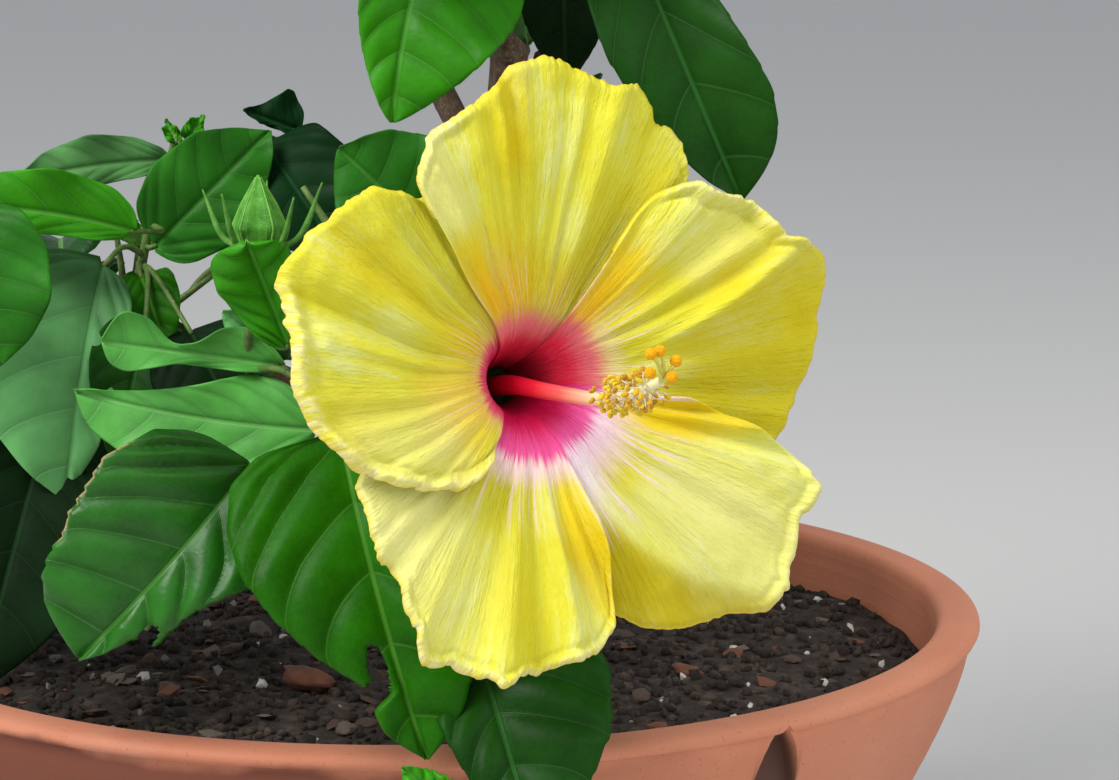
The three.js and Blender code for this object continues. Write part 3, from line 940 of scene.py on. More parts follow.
# %% [markdown]
# ## One leaf blade
# A hibiscus blade is broad near its stalk, drawn to a point, and toothed along its outer half. The midrib
# arches, the halves fold up from it, the side veins are sunk and the panels between them puff out. All of
# that is a grid of points along and across the blade. Each point also keeps its place among the veins as a
# map, so that a finish can draw thin pale veins exactly where the mesh is sunk.

# %% Blade
VEIN_COUNT = 4.6
SMOOTH_WINDOW = 71
SHARP_WINDOW = 23
VEIN_SWEEP = 0.42


def half_width(shape, share):
    """The half width along the blade: by the usual rule from its widest, or through (share, mm) points."""
    if isinstance(shape, (int, float)):
        return shape * MM * np.sin(math.pi * share**0.62) ** 0.72
    places, widths = np.array([(0, 0), *shape, (1, 0)], float).T
    fine = np.linspace(-0.2, 1.2, 701)
    beyond = (fine < 0) | (fine > 1)
    folded = np.where(fine < 0, -fine, np.where(fine > 1, 2 - fine, fine))
    window = np.hanning(SHARP_WINDOW if len(shape) > 8 else SMOOTH_WINDOW)
    mirrored = np.interp(folded, places, widths) * np.where(beyond, -1, 1)
    smooth = np.convolve(mirrored, window / window.sum(), mode="same")
    return MM * np.interp(share, fine, smooth)


def saw_teeth(share, teeth, size):
    """Saw teeth on the outer part of the margin."""
    return 1 + size * ramp_up(share, 0.25, 0.55) * ((share * teeth) % 1 - 0.5)


def vein_place(share, out):
    """The whole numbers of this value are the side veins, which sweep towards the tip."""
    bend = VEIN_SWEEP * out**1.15
    return VEIN_COUNT * (share - bend) / (1 - bend)


def blade(leaf, rows, columns):
    """Points, faces and maps of one blade. base and tip are points, widths are mm and angles are degrees."""
    share = np.linspace(0.004, 0.996, rows)
    across = np.asarray(columns, float)[None, :]
    out, sign = np.abs(across), np.sign(across)
    chord = leaf["tip"] - leaf["base"]
    length = np.linalg.norm(chord)
    ahead = chord / length
    face = unit(leaf["facing"] - ahead * (leaf["facing"] @ ahead))
    right = np.cross(ahead, face)
    rise = leaf.get("arch", 0.08) * length * face + leaf.get("bend", 0.0) * length * right
    middle = leaf["base"] + share[:, None] * chord + (4 * share * (1 - share))[:, None] * rise
    along = unit(chord + (4 * (1 - 2 * share))[:, None] * rise)
    rights = unit(np.cross(along, face))
    faces_up = np.cross(rights, along)
    teeth = saw_teeth(share, leaf.get("teeth", 13), leaf.get("tooth", 0.03))[:, None]
    left_half = half_width(leaf["left"], share)[:, None]
    right_half = half_width(leaf["right"], share)[:, None]
    reach = np.where(sign < 0, left_half, right_half) * out * (1 + (teeth - 1) * out**8)
    fold = math.radians(leaf.get("fold", 14))
    share = share[:, None]
    vein = vein_place(share, out)
    panel = np.abs(np.sin(math.pi * vein)) ** 0.8 * np.clip(out * (1 - out) * 4, 0, 1) ** 0.5
    wave = np.sin(2 * math.pi * leaf.get("waves", 2.2) * share + leaf.get("phase", 0.0) + 1.3 * sign)
    height = reach * math.sin(fold) + leaf.get("puff", 1.1) * MM * panel * ramp_up(share, 0.0, 0.12)
    height += leaf.get("wave", 1.6) * MM * wave * out**2 - leaf.get("curl", 0.0) * reach * out
    height -= 0.5 * MM * np.exp(-((reach / (0.9 * MM)) ** 2))
    sideways = sign * reach * math.cos(fold)
    points = middle[:, None] + rights[:, None] * sideways[..., None]
    points = points + faces_up[:, None] * height[..., None]
    veins = np.stack((vein, sign * reach / (50 * MM)), axis=-1).reshape(-1, 2)
    edges = np.stack((across + 0 * share, share + 0 * across), axis=-1).reshape(-1, 2)
    return points.reshape(-1, 3), grid_faces(rows, across.size), {"veins": veins, "edges": edges}


widest = half_width(20, np.linspace(0, 1, 101)).max() / MM
print("blade ready: widest half of a 20 mm rule", round(widest, 1))

# %% [markdown]
# ## Leaf finishes
# The leaves are glossy green above and paler and duller below. Leaves that are seen close have their own
# map: thin pale veins, painted shade beside them and fine cells. The many leaves of the crown are joined by
# the hundred, so their greens are plain colours dealt out by spray, with a pale midrib strip of its own.

# %% Leaf finishes
FOOT_SHADE = (0.004, 0.020, 0.003)
DRY_MARGIN = (0.34, 0.27, 0.13)


def plain_leaf(name, color, roughness=0.42):
    """A plain green with fine cells in its gloss, for joined leaves."""
    leaf = new_finish(name, roughness, color, gloss=0.26)
    place = place_of(leaf)
    relief(leaf, cells(leaf, place, 900), 0.00025, 0.5)
    uneven_gloss(leaf, grain(leaf, place, 90, 3), roughness - 0.07, roughness + 0.1)
    return leaf


def veined_leaf(name, color, vein_color, roughness=0.40, gloss=0.24, scar=None, foot=1.0):
    """A close leaf: veins where the map's first number is whole, and along the middle.

    scar is the side, start and end of a brown margin. foot is how bright the blade's first third is kept
    under its painted shade.
    """
    leaf = new_finish(name, roughness, color, gloss)
    count, out = parts_of(leaf, map_of(leaf, "veins"))
    place = place_of(leaf)
    from_whole = arithmetic(leaf, "PINGPONG", count, 0.5)
    side_vein = fade(leaf, from_whole, 0.006, 0.030, 0.42, 0)
    midrib = fade(leaf, arithmetic(leaf, "ABSOLUTE", out), 0.006, 0.018, 0.75, 0)
    vein = arithmetic(leaf, "MAXIMUM", side_vein, midrib)
    stops = [(0.3, dimmed(color, 0.75)), (0.5, color), (0.72, dimmed(color, 1.3))]
    mottle = ramp(leaf, grain(leaf, place, 75, 4), stops)
    net = cells(leaf, place, 420, "DISTANCE_TO_EDGE")
    netted = blend_colors(leaf, fade(leaf, net, 0.0, 0.09, 0.10, 0), mottle, vein_color)
    # painted shade in the sunk creases beside the veins
    vein_crease_shade = fade(leaf, from_whole, 0.03, 0.22, 0.30, 0)
    darker = blend_colors(leaf, vein_crease_shade, netted, dimmed(color, 0.5))
    veined = blend_colors(leaf, vein, darker, vein_color)
    # painted shade: the blade's first third darkens towards FOOT_SHADE
    if foot < 1:
        _, along = parts_of(leaf, map_of(leaf, "edges"))
        veined = blend_colors(leaf, fade(leaf, along, 0.08, 0.42, 1 - foot, 0), veined, FOOT_SHADE)
    if scar is not None:
        veined = scarred(leaf, veined, *scar)
    wire(leaf, "Base Color", veined)
    uneven_gloss(leaf, grain(leaf, place, 60, 3), roughness - 0.06, roughness + 0.12)
    under = relief(leaf, arithmetic(leaf, "MULTIPLY", vein, -1.0), 0.0004, 0.5)
    relief(leaf, net, 0.0002, 0.35, under)
    return leaf


def scarred(leaf, color, side, start, end):
    """A dry brown line along one margin, where it was chewed."""
    across, along = parts_of(leaf, map_of(leaf, "edges"))
    margin = fade(leaf, product(leaf, across, side), 0.972, 0.992)
    after_start = fade(leaf, along, start - 0.03, start + 0.03)
    before_end = fade(leaf, along, end - 0.03, end + 0.03, 1, 0)
    broken = fade(leaf, grain(leaf, map_of(leaf, "edges", (1, 30, 1)), 1, 3), 0.36, 0.5)
    return blend_colors(leaf, product(leaf, margin, after_start, before_end, broken), color, DRY_MARGIN)


GREENS = {
    "deep": (0.010, 0.075, 0.010),
    "mid": (0.020, 0.130, 0.010),
    "fresh": (0.040, 0.210, 0.010),
    "young": (0.095, 0.320, 0.020),
}
VEIN_GREEN = (0.11, 0.30, 0.05)
UNDER_GREEN = (0.075, 0.19, 0.045)
crown_top = [plain_leaf(name + "_leaf", color) for name, color in GREENS.items()]
midrib_finish = plain_leaf("midrib", VEIN_GREEN, 0.45)
under_finish = plain_leaf("leaf_underside", UNDER_GREEN, 0.6)
close_leaf = {
    # painted shade: near-black leaves that fill the shade among the close leaves
    "shade": veined_leaf("shaded_close_leaf", (0.003, 0.016, 0.003), (0.010, 0.040, 0.010), 0.6, 0.08),
    "deep": veined_leaf("deep_close_leaf", (0.010, 0.066, 0.004), (0.028, 0.13, 0.020), gloss=0.10),
    "dull": veined_leaf("dull_close_leaf", (0.090, 0.265, 0.075), (0.13, 0.32, 0.10), 0.55, 0.15),
    "blue": veined_leaf("blue_close_leaf", (0.003, 0.030, 0.006), (0.010, 0.060, 0.015), 0.5, 0.08),
    "mid": veined_leaf("mid_close_leaf", (0.015, 0.122, 0.001), (0.070, 0.24, 0.02), gloss=0.09),
    "round": veined_leaf("round_close_leaf", (0.022, 0.155, 0.010), (0.050, 0.21, 0.025), gloss=0.10),
    "chewed": veined_leaf(
        "chewed_close_leaf", (0.014, 0.124, 0.005), (0.065, 0.24, 0.030), 0.36, 0.32, (1, 0.24, 0.72), 0.55),
    "fresh": veined_leaf("fresh_close_leaf", (0.036, 0.275, 0.003), (0.10, 0.38, 0.04), gloss=0.16),
    # painted reflection: the pale grey green stands in for the sky's sheen on a dark leaf; its foot has
    # painted shade
    "soft": veined_leaf("painted_sheen_close_leaf", (0.125, 0.400, 0.120), (0.15, 0.45, 0.14), 0.5, foot=0.30),
    "pale": veined_leaf("pale_close_leaf", (0.090, 0.380, 0.060), (0.16, 0.46, 0.11), 0.5),
}
print("leaf finishes", len(crown_top) + len(close_leaf) + 2)

# %% [markdown]
# ## The leaves that the photograph shows
# Each leaf that can be told apart is placed by the pixel of its stalk end and of its tip, at a chosen
# depth, with its half widths in millimetres. It faces the camera, rolled and tilted where the real one is
# seen edge on. Its stalk grows to it from the nearest wood, so that it hangs on the plant from any side.

# %% Close leaves
FRONT_DEPTH = -130
CALM_PUFF = 0.45
LEAF_THICKNESS = 0.35 * MM
CLOSE_ROWS = 84
CLOSE_COLUMNS = np.linspace(-1, 1, 40)

# what a close leaf has where its own entry doesn't say otherwise
USUAL_SHAPE = dict(arch=0.10, tooth=0, fold=8)
# base and tip are pixels, depths are mm, and left and right are half widths: the widest, or (share, mm)
# bites are (share, mm to the side, half length, half width in mm)
CLOSE_LEAVES = {
    "leaf_below_left_petal": dict(
        base=(340, 434), tip=(426, 759), depths=(-150, -176), bend=0.015, green="mid", puff=2.4, rows=110,
        teeth=17, tooth=0.02, phase=1.0,
        left=[(0.03, 14), (0.12, 20), (0.3, 24), (0.5, 24), (0.68, 20), (0.81, 17), (0.895, 12.6),
            (0.96, 6), (0.98, 3)],
        right=[(0.03, 20), (0.105, 29), (0.234, 32), (0.37, 31), (0.50, 26), (0.64, 18), (0.735, 10.5),
            (0.765, 8), (0.778, 3), (0.79, 3), (0.811, 8), (0.83, 8.7), (0.888, 7.7), (0.95, 4)],
        bites=[(0.715, 4.6, 0.075, 2.3), (0.77, 6.5, 0.03, 3.5)]),
    "leaf_chewed": dict(
        base=(252, 462), tip=(80, 658), depths=(-142, -158), bend=-0.02, green="chewed", puff=2.4, rows=100,
        teeth=16, tooth=0.035, phase=2.0,
        left=[(0.03, 8), (0.12, 15), (0.25, 19), (0.36, 19.8), (0.52, 14), (0.62, 12), (0.70, 11.6),
            (0.78, 11.4), (0.80, 6.4), (0.918, 3.4), (0.97, 1.5)],
        right=[(0.02, 12), (0.06, 18), (0.14, 24.4), (0.215, 26), (0.36, 29.5), (0.49, 28.1), (0.63, 26.8),
            (0.672, 24.6), (0.77, 23.7), (0.86, 21.1), (0.95, 15), (0.985, 8)],
        bites=[(0.765, -8.2, 0.055, 2.2)]),
    "leaf_middle_left": dict(
        base=(318, 430), tip=(74, 390), depths=(-128, -120), green="pale", fold=4, arch=0.04, bend=-0.03,
        wave=2.4, left=[(0.04, 6), (0.2, 13), (0.45, 15), (0.7, 13), (0.9, 9), (0.97, 4)],
        right=[(0.04, 7), (0.15, 12), (0.3, 13), (0.5, 8), (0.75, 4)]),
    "leaf_curled_light": dict(
        base=(284, 366), tip=(101, 342), depths=(-122, -130), green="pale", fold=14, arch=0.02, puff=0.4,
        wave=2.0, left=[(0.05, 2), (0.3, 3), (0.6, 3), (0.85, 7), (0.96, 5)],
        right=[(0.05, 3), (0.2, 9), (0.36, 8), (0.5, 2.5), (0.62, 2), (0.76, 8), (0.9, 9), (0.97, 5)]),
    "leaf_curled_back": dict(
        base=(284, 362), tip=(222, 312), depths=(-116, -120), green="soft", fold=12, arch=0.08, left=7,
        right=7, puff=0.6),
    "leaf_curled_bright": dict(
        base=(290, 350), tip=(246, 240), depths=(-138, -152), green="fresh", fold=24, arch=-0.10, curl=0.45,
        puff=1.4, left=[(0.04, 4), (0.2, 7.5), (0.4, 10.5), (0.65, 12.5), (0.85, 11.5), (0.96, 7)],
        right=[(0.04, 5), (0.2, 8), (0.5, 10), (0.8, 10), (0.95, 7)]),
    "leaf_big_soft": dict(
        base=(104, 262), tip=(66, 502), depths=(-58, -90), green="soft", arch=0.12, puff=1.8, bend=0.03,
        roll=-6, left=[(0.03, 6), (0.2, 10), (0.5, 10), (0.8, 7)],
        right=[(0.03, 14), (0.12, 22), (0.3, 29), (0.55, 30), (0.75, 23), (0.9, 12)]),
    "leaf_left_edge": dict(
        base=(-44, 208), tip=(2, 366), depths=(-100, -110), green="round", right=18,
        left=[(0.03, 10), (0.15, 16), (0.4, 20), (0.7, 17), (0.9, 9)]),
    "leaf_left_bright": dict(
        base=(135, 232), tip=(-70, 206), depths=(-70, -84), green="fresh", fold=5, arch=0.07, puff=0.7,
        bend=0.04, left=[(0.04, 3), (0.2, 5), (0.5, 6), (0.8, 5)],
        right=[(0.03, 5), (0.15, 10), (0.45, 12), (0.8, 8)]),
    "leaf_left_soft": dict(
        base=(168, 160), tip=(14, 182), depths=(-6, -20), green="dull", fold=5, arch=0.05, puff=0.7,
        bend=0.03, left=[(0.1, 4), (0.5, 6), (0.9, 3)], right=[(0.03, 3), (0.2, 7), (0.5, 9), (0.8, 6)]),
    "leaf_round": dict(
        base=(154, 248), tip=(270, 130), depths=(-44, -36), green="round", fold=6, tooth=0.01, puff=1.4,
        left=[(0.03, 7), (0.12, 12), (0.35, 16.5), (0.65, 14.5), (0.88, 7)],
        right=[(0.03, 7), (0.12, 11), (0.35, 15), (0.65, 13), (0.88, 6)]),
    "leaf_behind_bud": dict(
        base=(264, 142), tip=(346, 262), depths=(-30, -44), green="blue", arch=0.12, puff=1.2, right=18,
        left=[(0.03, 8), (0.15, 15), (0.45, 19), (0.8, 10)]),
    "leaf_small_dark": dict(
        base=(299, 131), tip=(243, 110), depths=(-28, -30), green="blue", fold=4, arch=0.03, puff=0.5,
        left=[(0.05, 1.5), (0.5, 2), (0.9, 1)], right=[(0.04, 5), (0.3, 10), (0.42, 10), (0.7, 4)]),
    "leaf_between_petals": dict(
        base=(442, 244), tip=(338, 148), depths=(-112, -118), green="round", tooth=0.015, puff=1.2, left=19,
        right=[(0.03, 8), (0.15, 15), (0.5, 21), (0.85, 12)]),
    "leaf_top": dict(
        base=(432, -70), tip=(392, 123), depths=(-104, -118), left=28, right=14, green="fresh", fold=12,
        bend=0.03, tooth=0.02, puff=2.6),
    "leaf_top_right": dict(
        base=(604, -126), tip=(742, 202), depths=(-100, -124), green="deep", fold=18, arch=0.08, tooth=0.02,
        puff=1.4, left=[(0.03, 7), (0.2, 12), (0.38, 13.5), (0.6, 17), (0.75, 19), (0.87, 16), (0.95, 9)],
        right=[(0.03, 9), (0.2, 16), (0.5, 18), (0.7, 15), (0.88, 8)]),
    "leaf_top_dark": dict(
        base=(562, -60), tip=(566, 84), depths=(-60, -72), left=14, right=13, green="shade", fold=10,
        tooth=0.03),
    "leaf_tip_left": dict(
        base=(178, 142), tip=(165, 121), depths=(-42, -40), left=2.6, right=2.2, green="fresh", fold=20),
    "leaf_tip_right": dict(
        base=(188, 142), tip=(202, 115), depths=(-42, -40), left=3.4, right=3.0, green="fresh", fold=20),
    "leaf_over_rim": dict(
        base=(470, 622), tip=(540, 858), depths=(-152, -190), green="deep", fold=10, tooth=0.03, puff=2.0,
        right=15, left=[(0.03, 14), (0.15, 24), (0.4, 30), (0.65, 26), (0.85, 14)]),
    "leaf_small_low": dict(
        base=(452, 812), tip=(402, 767), depths=(-183, -187), left=6, right=6, green="fresh", fold=10,
        tooth=0.16, teeth=9),
    "leaf_low_dark": dict(
        base=(40, 450), tip=(-24, 690), depths=(-84, -108), left=24, right=24, green="shade", fold=10),
    "leaf_under_node": dict(
        base=(140, 274), tip=(170, 356), depths=(-50, -62), left=9, right=8, green="mid", fold=18),
    "leaf_left_middle": dict(
        base=(146, 322), tip=(116, 462), depths=(-68, -86), left=14, right=13, green="deep", fold=12),
    "leaf_shade_one": dict(
        base=(60, 330), tip=(30, 560), depths=(-40, -58), left=30, right=22, green="shade", fold=10),
    "leaf_shade_two": dict(
        base=(190, 330), tip=(250, 450), depths=(-72, -84), left=16, right=16, green="shade", fold=10),
}


def turned_about(vector, axis, degrees):
    """The vector turned about an axis."""
    angle = math.radians(degrees)
    across = np.cross(axis, vector)
    level = axis * (axis @ vector)
    return level + (vector - level) * math.cos(angle) + across * math.sin(angle)


def placed_leaf(spec):
    """The leaf's sizes in metres, with its ends in the scene and the way that it faces."""
    leaf = {**USUAL_SHAPE, **spec}
    leaf["base"] = at_pixel(spec["base"], spec["depths"][0])
    leaf["tip"] = at_pixel(spec["tip"], spec["depths"][1])
    ahead = unit(leaf["tip"] - leaf["base"])
    towards = unit(CAMERA_PLACE - leaf["base"])
    leaf["facing"] = turned_about(towards, ahead, spec.get("roll", 0))
    calm = CALM_PUFF if spec["depths"][0] > FRONT_DEPTH else 1
    leaf["puff"] = calm * spec.get("puff", 1.1)
    return leaf


def give_thickness(piece, steps):
    """Turns a sheet into a thin closed blade, whose underside has the finish that many steps further on."""
    apply_modifier(
        piece, "SOLIDIFY", thickness=LEAF_THICKNESS, offset=-1, use_quality_normals=True,
        material_offset=steps, use_rim=True)


def eaten(spec, points, faces, maps):
    """The blade without its bites."""
    faces = np.array(faces)
    share = maps["edges"][faces, 1].mean(axis=1)
    out = maps["veins"][faces, 1].mean(axis=1) * 50
    kept = np.ones(len(faces), bool)
    for middle, side, long, wide in spec["bites"]:
        kept &= ((share - middle) / long) ** 2 + ((out - side) / wide) ** 2 > 1
    used, places = np.unique(faces[kept], return_inverse=True)
    return points[used], places.reshape(-1, 4).tolist(), {name: pairs[used] for name, pairs in maps.items()}


close_stalk_ends = []
for name, spec in CLOSE_LEAVES.items():
    leaf = placed_leaf(spec)
    points, faces, maps = blade(leaf, spec.get("rows", CLOSE_ROWS), CLOSE_COLUMNS)
    if "bites" in spec:
        points, faces, maps = eaten(spec, points, faces, maps)
    piece = new_piece(name, points, faces, [close_leaf[spec["green"]], under_finish], maps=maps)
    give_thickness(piece, 1)
    close_stalk_ends.append((leaf["base"], unit(leaf["tip"] - leaf["base"])))
print("close leaves", len(CLOSE_LEAVES), "each of", triangles_of(piece), "triangles")

# %% [markdown]
# ## The crown
# A shrub's leaves aren't strewn in a ball: they sit one after another along twigs, each turned a fixed
# angle from the last, on stalks that lift the blades to the light. So each mass grows: a stem goes on from
# the end of its bough, twigs leave it for points spread over the mass, and leaves follow along each twig to
# a young tip. A leaf that would cover sky in the photograph, or reach out of its mass, is left off or
# shortened.

# %% Rules of growth
GOLDEN_TURN = math.radians(137.5)
CROWN_ROWS = 18
CROWN_COLUMNS = np.array((-1, -0.66, -0.33, -0.045, 0.045, 0.33, 0.66, 1))
MIDRIB_COLUMN = 3
CROWN_SEED = 101
UPPER_SIZES = (64, 92)
LOW_SIZES = (50, 74)
# bough, number of twigs, and least and greatest length of a blade (mm); each mass has the next seed
CROWN = {
    "leaves_top": ("bough_leader", 22, UPPER_SIZES),
    "leaves_upper_left": ("bough_upper_left", 18, UPPER_SIZES),
    "leaves_upper_right": ("bough_upper_right", 18, UPPER_SIZES),
    "leaves_upper_front": ("bough_upper_front", 15, UPPER_SIZES),
    "leaves_upper_back": ("bough_upper_back", 18, UPPER_SIZES),
    "leaves_back_low": ("bough_back", 18, LOW_SIZES),
    "leaves_left_low": ("bough_left", 16, LOW_SIZES),
    "leaves_behind_bloom": ("bough_behind_bloom", 7, (32, 46)),
    "leaves_front_left": ("bough_front_left", 6, (28, 44)),
    "leaves_under_bloom": ("bough_under_bloom", 4, (18, 30)),
}

# what may stand behind what the photograph shows: outlines in its pixels, each with how far forward (mm)
COVERS = {
    "left foliage": (-40, [
        (-80, 180), (0, 172), (40, 168), (110, 137), (160, 140), (190, 128), (250, 128), (290, 128),
        (350, 160), (412, 128), (450, 200), (480, 480), (420, 660), (300, 600), (240, 590), (160, 640),
        (60, 655), (0, 672), (-80, 700)]),
    "top foliage": (-92, [
        (350, -90), (350, 60), (378, 102), (393, 121), (440, 92), (520, 40), (640, 130), (700, 160),
        (724, 190), (742, 195), (785, 124), (750, 65), (706, -2), (706, -90)]),
    "bloom": (-122, [
        (345, 205), (420, 170), (520, 68), (640, 96), (690, 190), (800, 245), (812, 330), (780, 440),
        (810, 490), (770, 600), (620, 620), (500, 680), (420, 640), (370, 500), (290, 400), (282, 262)]),
    "front leaves": (-128, [
        (50, 600), (60, 520), (110, 462), (180, 428), (250, 430), (330, 430), (420, 480), (480, 640),
        (470, 680), (425, 740), (390, 650), (320, 660), (240, 580), (150, 620), (100, 650)]),
    "leaf over the rim": (-140, [(440, 690), (590, 660), (605, 700), (590, 790), (430, 790)]),
}


def inside_outline(pixels, outline):
    """Which pixels lie inside an outline."""
    x, y = pixels.T
    inside = np.zeros(len(pixels), bool)
    for (x0, y0), (x1, y1) in zip(outline, outline[1:] + outline[:1]):
        crosses = (y0 > y) != (y1 > y)
        inside ^= crosses & (x < (x1 - x0) * (y - y0) / (y1 - y0 + 1e-9) + x0)
    return inside


def spoils_the_view(points):
    """Whether a leaf would show where the photograph shows none, or in front of the close leaves."""
    pixels = to_pixels(points)
    across, down = pixels.T
    seen = (across > 0) & (across < PHOTO_WIDTH) & (down > 0) & (down < PHOTO_HEIGHT)
    if not seen.any():
        return False
    covered = np.zeros(len(points), bool)
    for front, outline in COVERS.values():
        covered |= inside_outline(pixels, outline) & (points[:, 1] > front * MM)
    return bool((seen & ~covered).any())


# %% Growing one mass


def spread_directions(count, random):
    """Directions spread evenly over a sphere, turned at random."""
    index = np.arange(count) + 0.5
    height = 1 - 2 * index / count
    ring = np.sqrt(1 - height**2)
    turn = GOLDEN_TURN * index + random.uniform(0, 2 * math.pi)
    return np.stack((ring * np.cos(turn), ring * np.sin(turn), height), axis=1)


def crown_leaf(node, along, out, length, random):
    """A leaf that leaves a twig node: stalk first, then the blade, drooping a little and facing the light."""
    turn_axis = unit(along)
    heading = unit(0.35 * turn_axis + 0.95 * out + (0, 0, random.uniform(-0.30, 0.10)))
    stalk = heading * random.uniform(9, 20) * MM + np.array((0, 0, 2 * MM))
    base = node + stalk
    blade_heading = unit(heading + (0, 0, random.uniform(-0.45, -0.02)))
    tip = base + blade_heading * length
    facing = unit(np.array((0, 0, 0.75)) + 0.55 * out + random.normal(0, 0.22, 3))
    width = length * random.uniform(0.29, 0.36) / MM
    return dict(
        base=base, tip=tip, facing=facing, left=width, right=width * random.uniform(0.9, 1.1),
        arch=random.uniform(0.04, 0.14), bend=random.normal(0, 0.03), fold=random.uniform(6, 20),
        wave=random.uniform(0.8, 2.4), phase=random.uniform(0, 6), teeth=9, tooth=random.uniform(0.03, 0.08),
        puff=random.uniform(1.0, 1.8))


def kept_inside(leaf, centre, radii, limit=1.09):
    """Shortens a leaf whose tip would leave its mass; None if little would be left."""
    shorter = 0.88
    for _ in range(6):
        if np.linalg.norm((leaf["tip"] - centre) / radii) <= limit:
            return leaf
        for side in ("left", "right"):
            leaf[side] = leaf[side] * shorter
        inward = 0.05 * radii * unit(leaf["tip"] - centre)
        leaf["tip"] = leaf["base"] + (leaf["tip"] - leaf["base"]) * shorter - inward
    return None


def add_crown_leaf(leaf, green, leaves, stalks, node):
    """Adds the blade and its stalk to the bundles, unless it would spoil the view."""
    points, faces, _ = blade(leaf, CROWN_ROWS, CROWN_COLUMNS)
    if spoils_the_view(points) or points[:, 2].min() < SOIL_LEVEL + 4 * MM:
        return False
    strips = len(CROWN_COLUMNS) - 1
    finishes = [len(GREENS) if index % strips == MIDRIB_COLUMN else green for index in range(len(faces))]
    leaves.add(points, faces, finish=finishes)
    add_stalk(stalks, node, leaf["base"], unit(leaf["tip"] - leaf["base"]))
    return True


def add_stalk(stalks, node, base, heading):
    """A thin bent stalk from a node to the foot of a blade."""
    reach = np.linalg.norm(base - node)
    bend = base - heading * 0.35 * reach
    route = route_through([node, 0.45 * node + 0.55 * bend, base + heading * 1.2 * MM], 3.5 * MM)
    stalks.add(*tapered(route, (0.95, 0.72), 6))


def grow_twig(start, target, random, stalks, thick):
    """A twig that leaves its stem and lifts towards its target."""
    chord = target - start
    lift = np.array((0, 0, 0.12 * np.linalg.norm(chord)))
    middle = start + 0.5 * chord - 0.5 * lift + random.normal(0, 2.2 * MM, 3)
    route = route_through([start, middle, target], 4 * MM)
    stalks.add(*tapered(route, (thick, 0.8), 7))
    return route


def grow_mass(name, seed, bough, twig_count, sizes):
    """The leaves and twigs of one mass, as two pieces."""
    random = np.random.default_rng(seed)
    low, high = (np.array(corner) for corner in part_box(name))
    centre, radii = (low + high) / 2, (high - low) / 2
    entry = plant_point(*LIMBS[bough]["points"][-1])
    leaves, stalks = Bundle(), Bundle()
    stem_end = centre + 0.35 * (centre - entry) + np.array((0, 0, 0.15 * radii[2]))
    stem = grow_twig(entry, stem_end, random, stalks, 2.3)
    kept = 0
    for index, direction in enumerate(spread_directions(twig_count, random)):
        target = centre + radii * direction * random.uniform(0.50, 0.66)
        start = stem[int((0.1 + 0.85 * index / twig_count) * (len(stem) - 1))]
        twig = grow_twig(start, target, random, stalks, 1.5)
        kept += leaves_along(twig, sizes, centre, radii, leaves, stalks, random)
    wood_points.append(stem)
    print(name, "leaves", kept)
    twigs = stalks.piece(name.replace("leaves", "twigs"), [green_bark], "green_stem")
    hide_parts(name)
    if kept:
        foliage = leaves.piece(name.replace("leaves", "foliage"), crown_finishes, "leaves")
        give_thickness(foliage, len(GREENS) + 1)
        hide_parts(name)
        print("triangles", triangles_of(foliage), triangles_of(twigs))


def leaves_along(twig, sizes, centre, radii, leaves, stalks, random):
    """Leaves one after another along the outer part of a twig, smaller and fresher at its tip."""
    along, side, up = route_frames(twig)
    length = np.linalg.norm(np.diff(twig, axis=0), axis=1).sum()
    count = max(3, int(length / (11 * MM)))
    spray_green = int(random.choice(len(GREENS), p=(0.24, 0.40, 0.30, 0.06)))
    kept = 0
    for step in range(count):
        share = 0.35 + 0.65 * (step + 1) / count
        index = min(len(twig) - 1, int(share * (len(twig) - 1)))
        turn = GOLDEN_TURN * step + random.normal(0, 0.3)
        outward = unit((twig[index] - centre) / radii**2)
        out = unit(0.55 * around(turn, side[index], up[index]) + 0.85 * outward)
        last = step == count - 1
        size = random.uniform(*sizes) * (0.58 if last else 1 - 0.15 * share)
        leaf = kept_inside(crown_leaf(twig[index], along[index], out, size * MM, random), centre, radii)
        if leaf is None:
            continue
        green = len(GREENS) - 1 if last and random.uniform() < 0.7 else spray_green
        kept += add_crown_leaf(leaf, green, leaves, stalks, twig[index])
    return kept


crown_finishes = [*crown_top, midrib_finish, *[under_finish] * len(crown_top), midrib_finish]
for seed, (name, (bough, twig_count, sizes)) in enumerate(CROWN.items(), CROWN_SEED):
    grow_mass(name, seed, bough, twig_count, sizes)

# %% Stalks of the close leaves


def nearest_wood(place):
    """The nearest point of any limb or twig."""
    wood = np.concatenate(wood_points)
    return wood[np.argmin(np.linalg.norm(wood - place, axis=1))]


SIDE_TWIGS = [
    [(-80, -30, 96), (-77, -35, 108), (-73, -40, 118), (-70, -42, 130), (-62, -41, 156)],
    [(-74, -28, 94), (-96, -42, 106), (-118, -58, 112), (-134, -72, 118)],
    [(-26, -108, 75), (-33, -114, 90), (-36, -123, 108), (-32, -131, 128)],
    [(-40, -12, 84), (-39, -8, 108), (-38, -14, 134), (-37, -22, 152)],
    [(24, -112, 58), (30, -140, 36), (32, -165, 14), (28, -176, -8)],
]
side_stalks = Bundle()
for points in SIDE_TWIGS:
    route = route_through([plant_point(*point) for point in points], 3 * MM)
    side_stalks.add(*tapered(route, (1.7, 1.0), 10))
    wood_points.append(route)
for base, heading in close_stalk_ends:
    add_stalk(side_stalks, nearest_wood(base), base, heading)
close_twigs = side_stalks.piece("close_leaf_stalks", [green_bark], "green_stem")
print("close stalks", triangles_of(close_twigs))

# %% [markdown]
# ## The petals
# Five petals overlap like a turned fan, each with its upper edge in front of the next. A petal is a funnel
# at its claw that opens into a flat, ruffled blade. It is built from its outline as seen in the photograph,
# angle by angle, and from the same middle line as the frame's petals. Folds, a crumpled margin and fine
# crepe wrinkles that run out from the throat are then added to its depth.

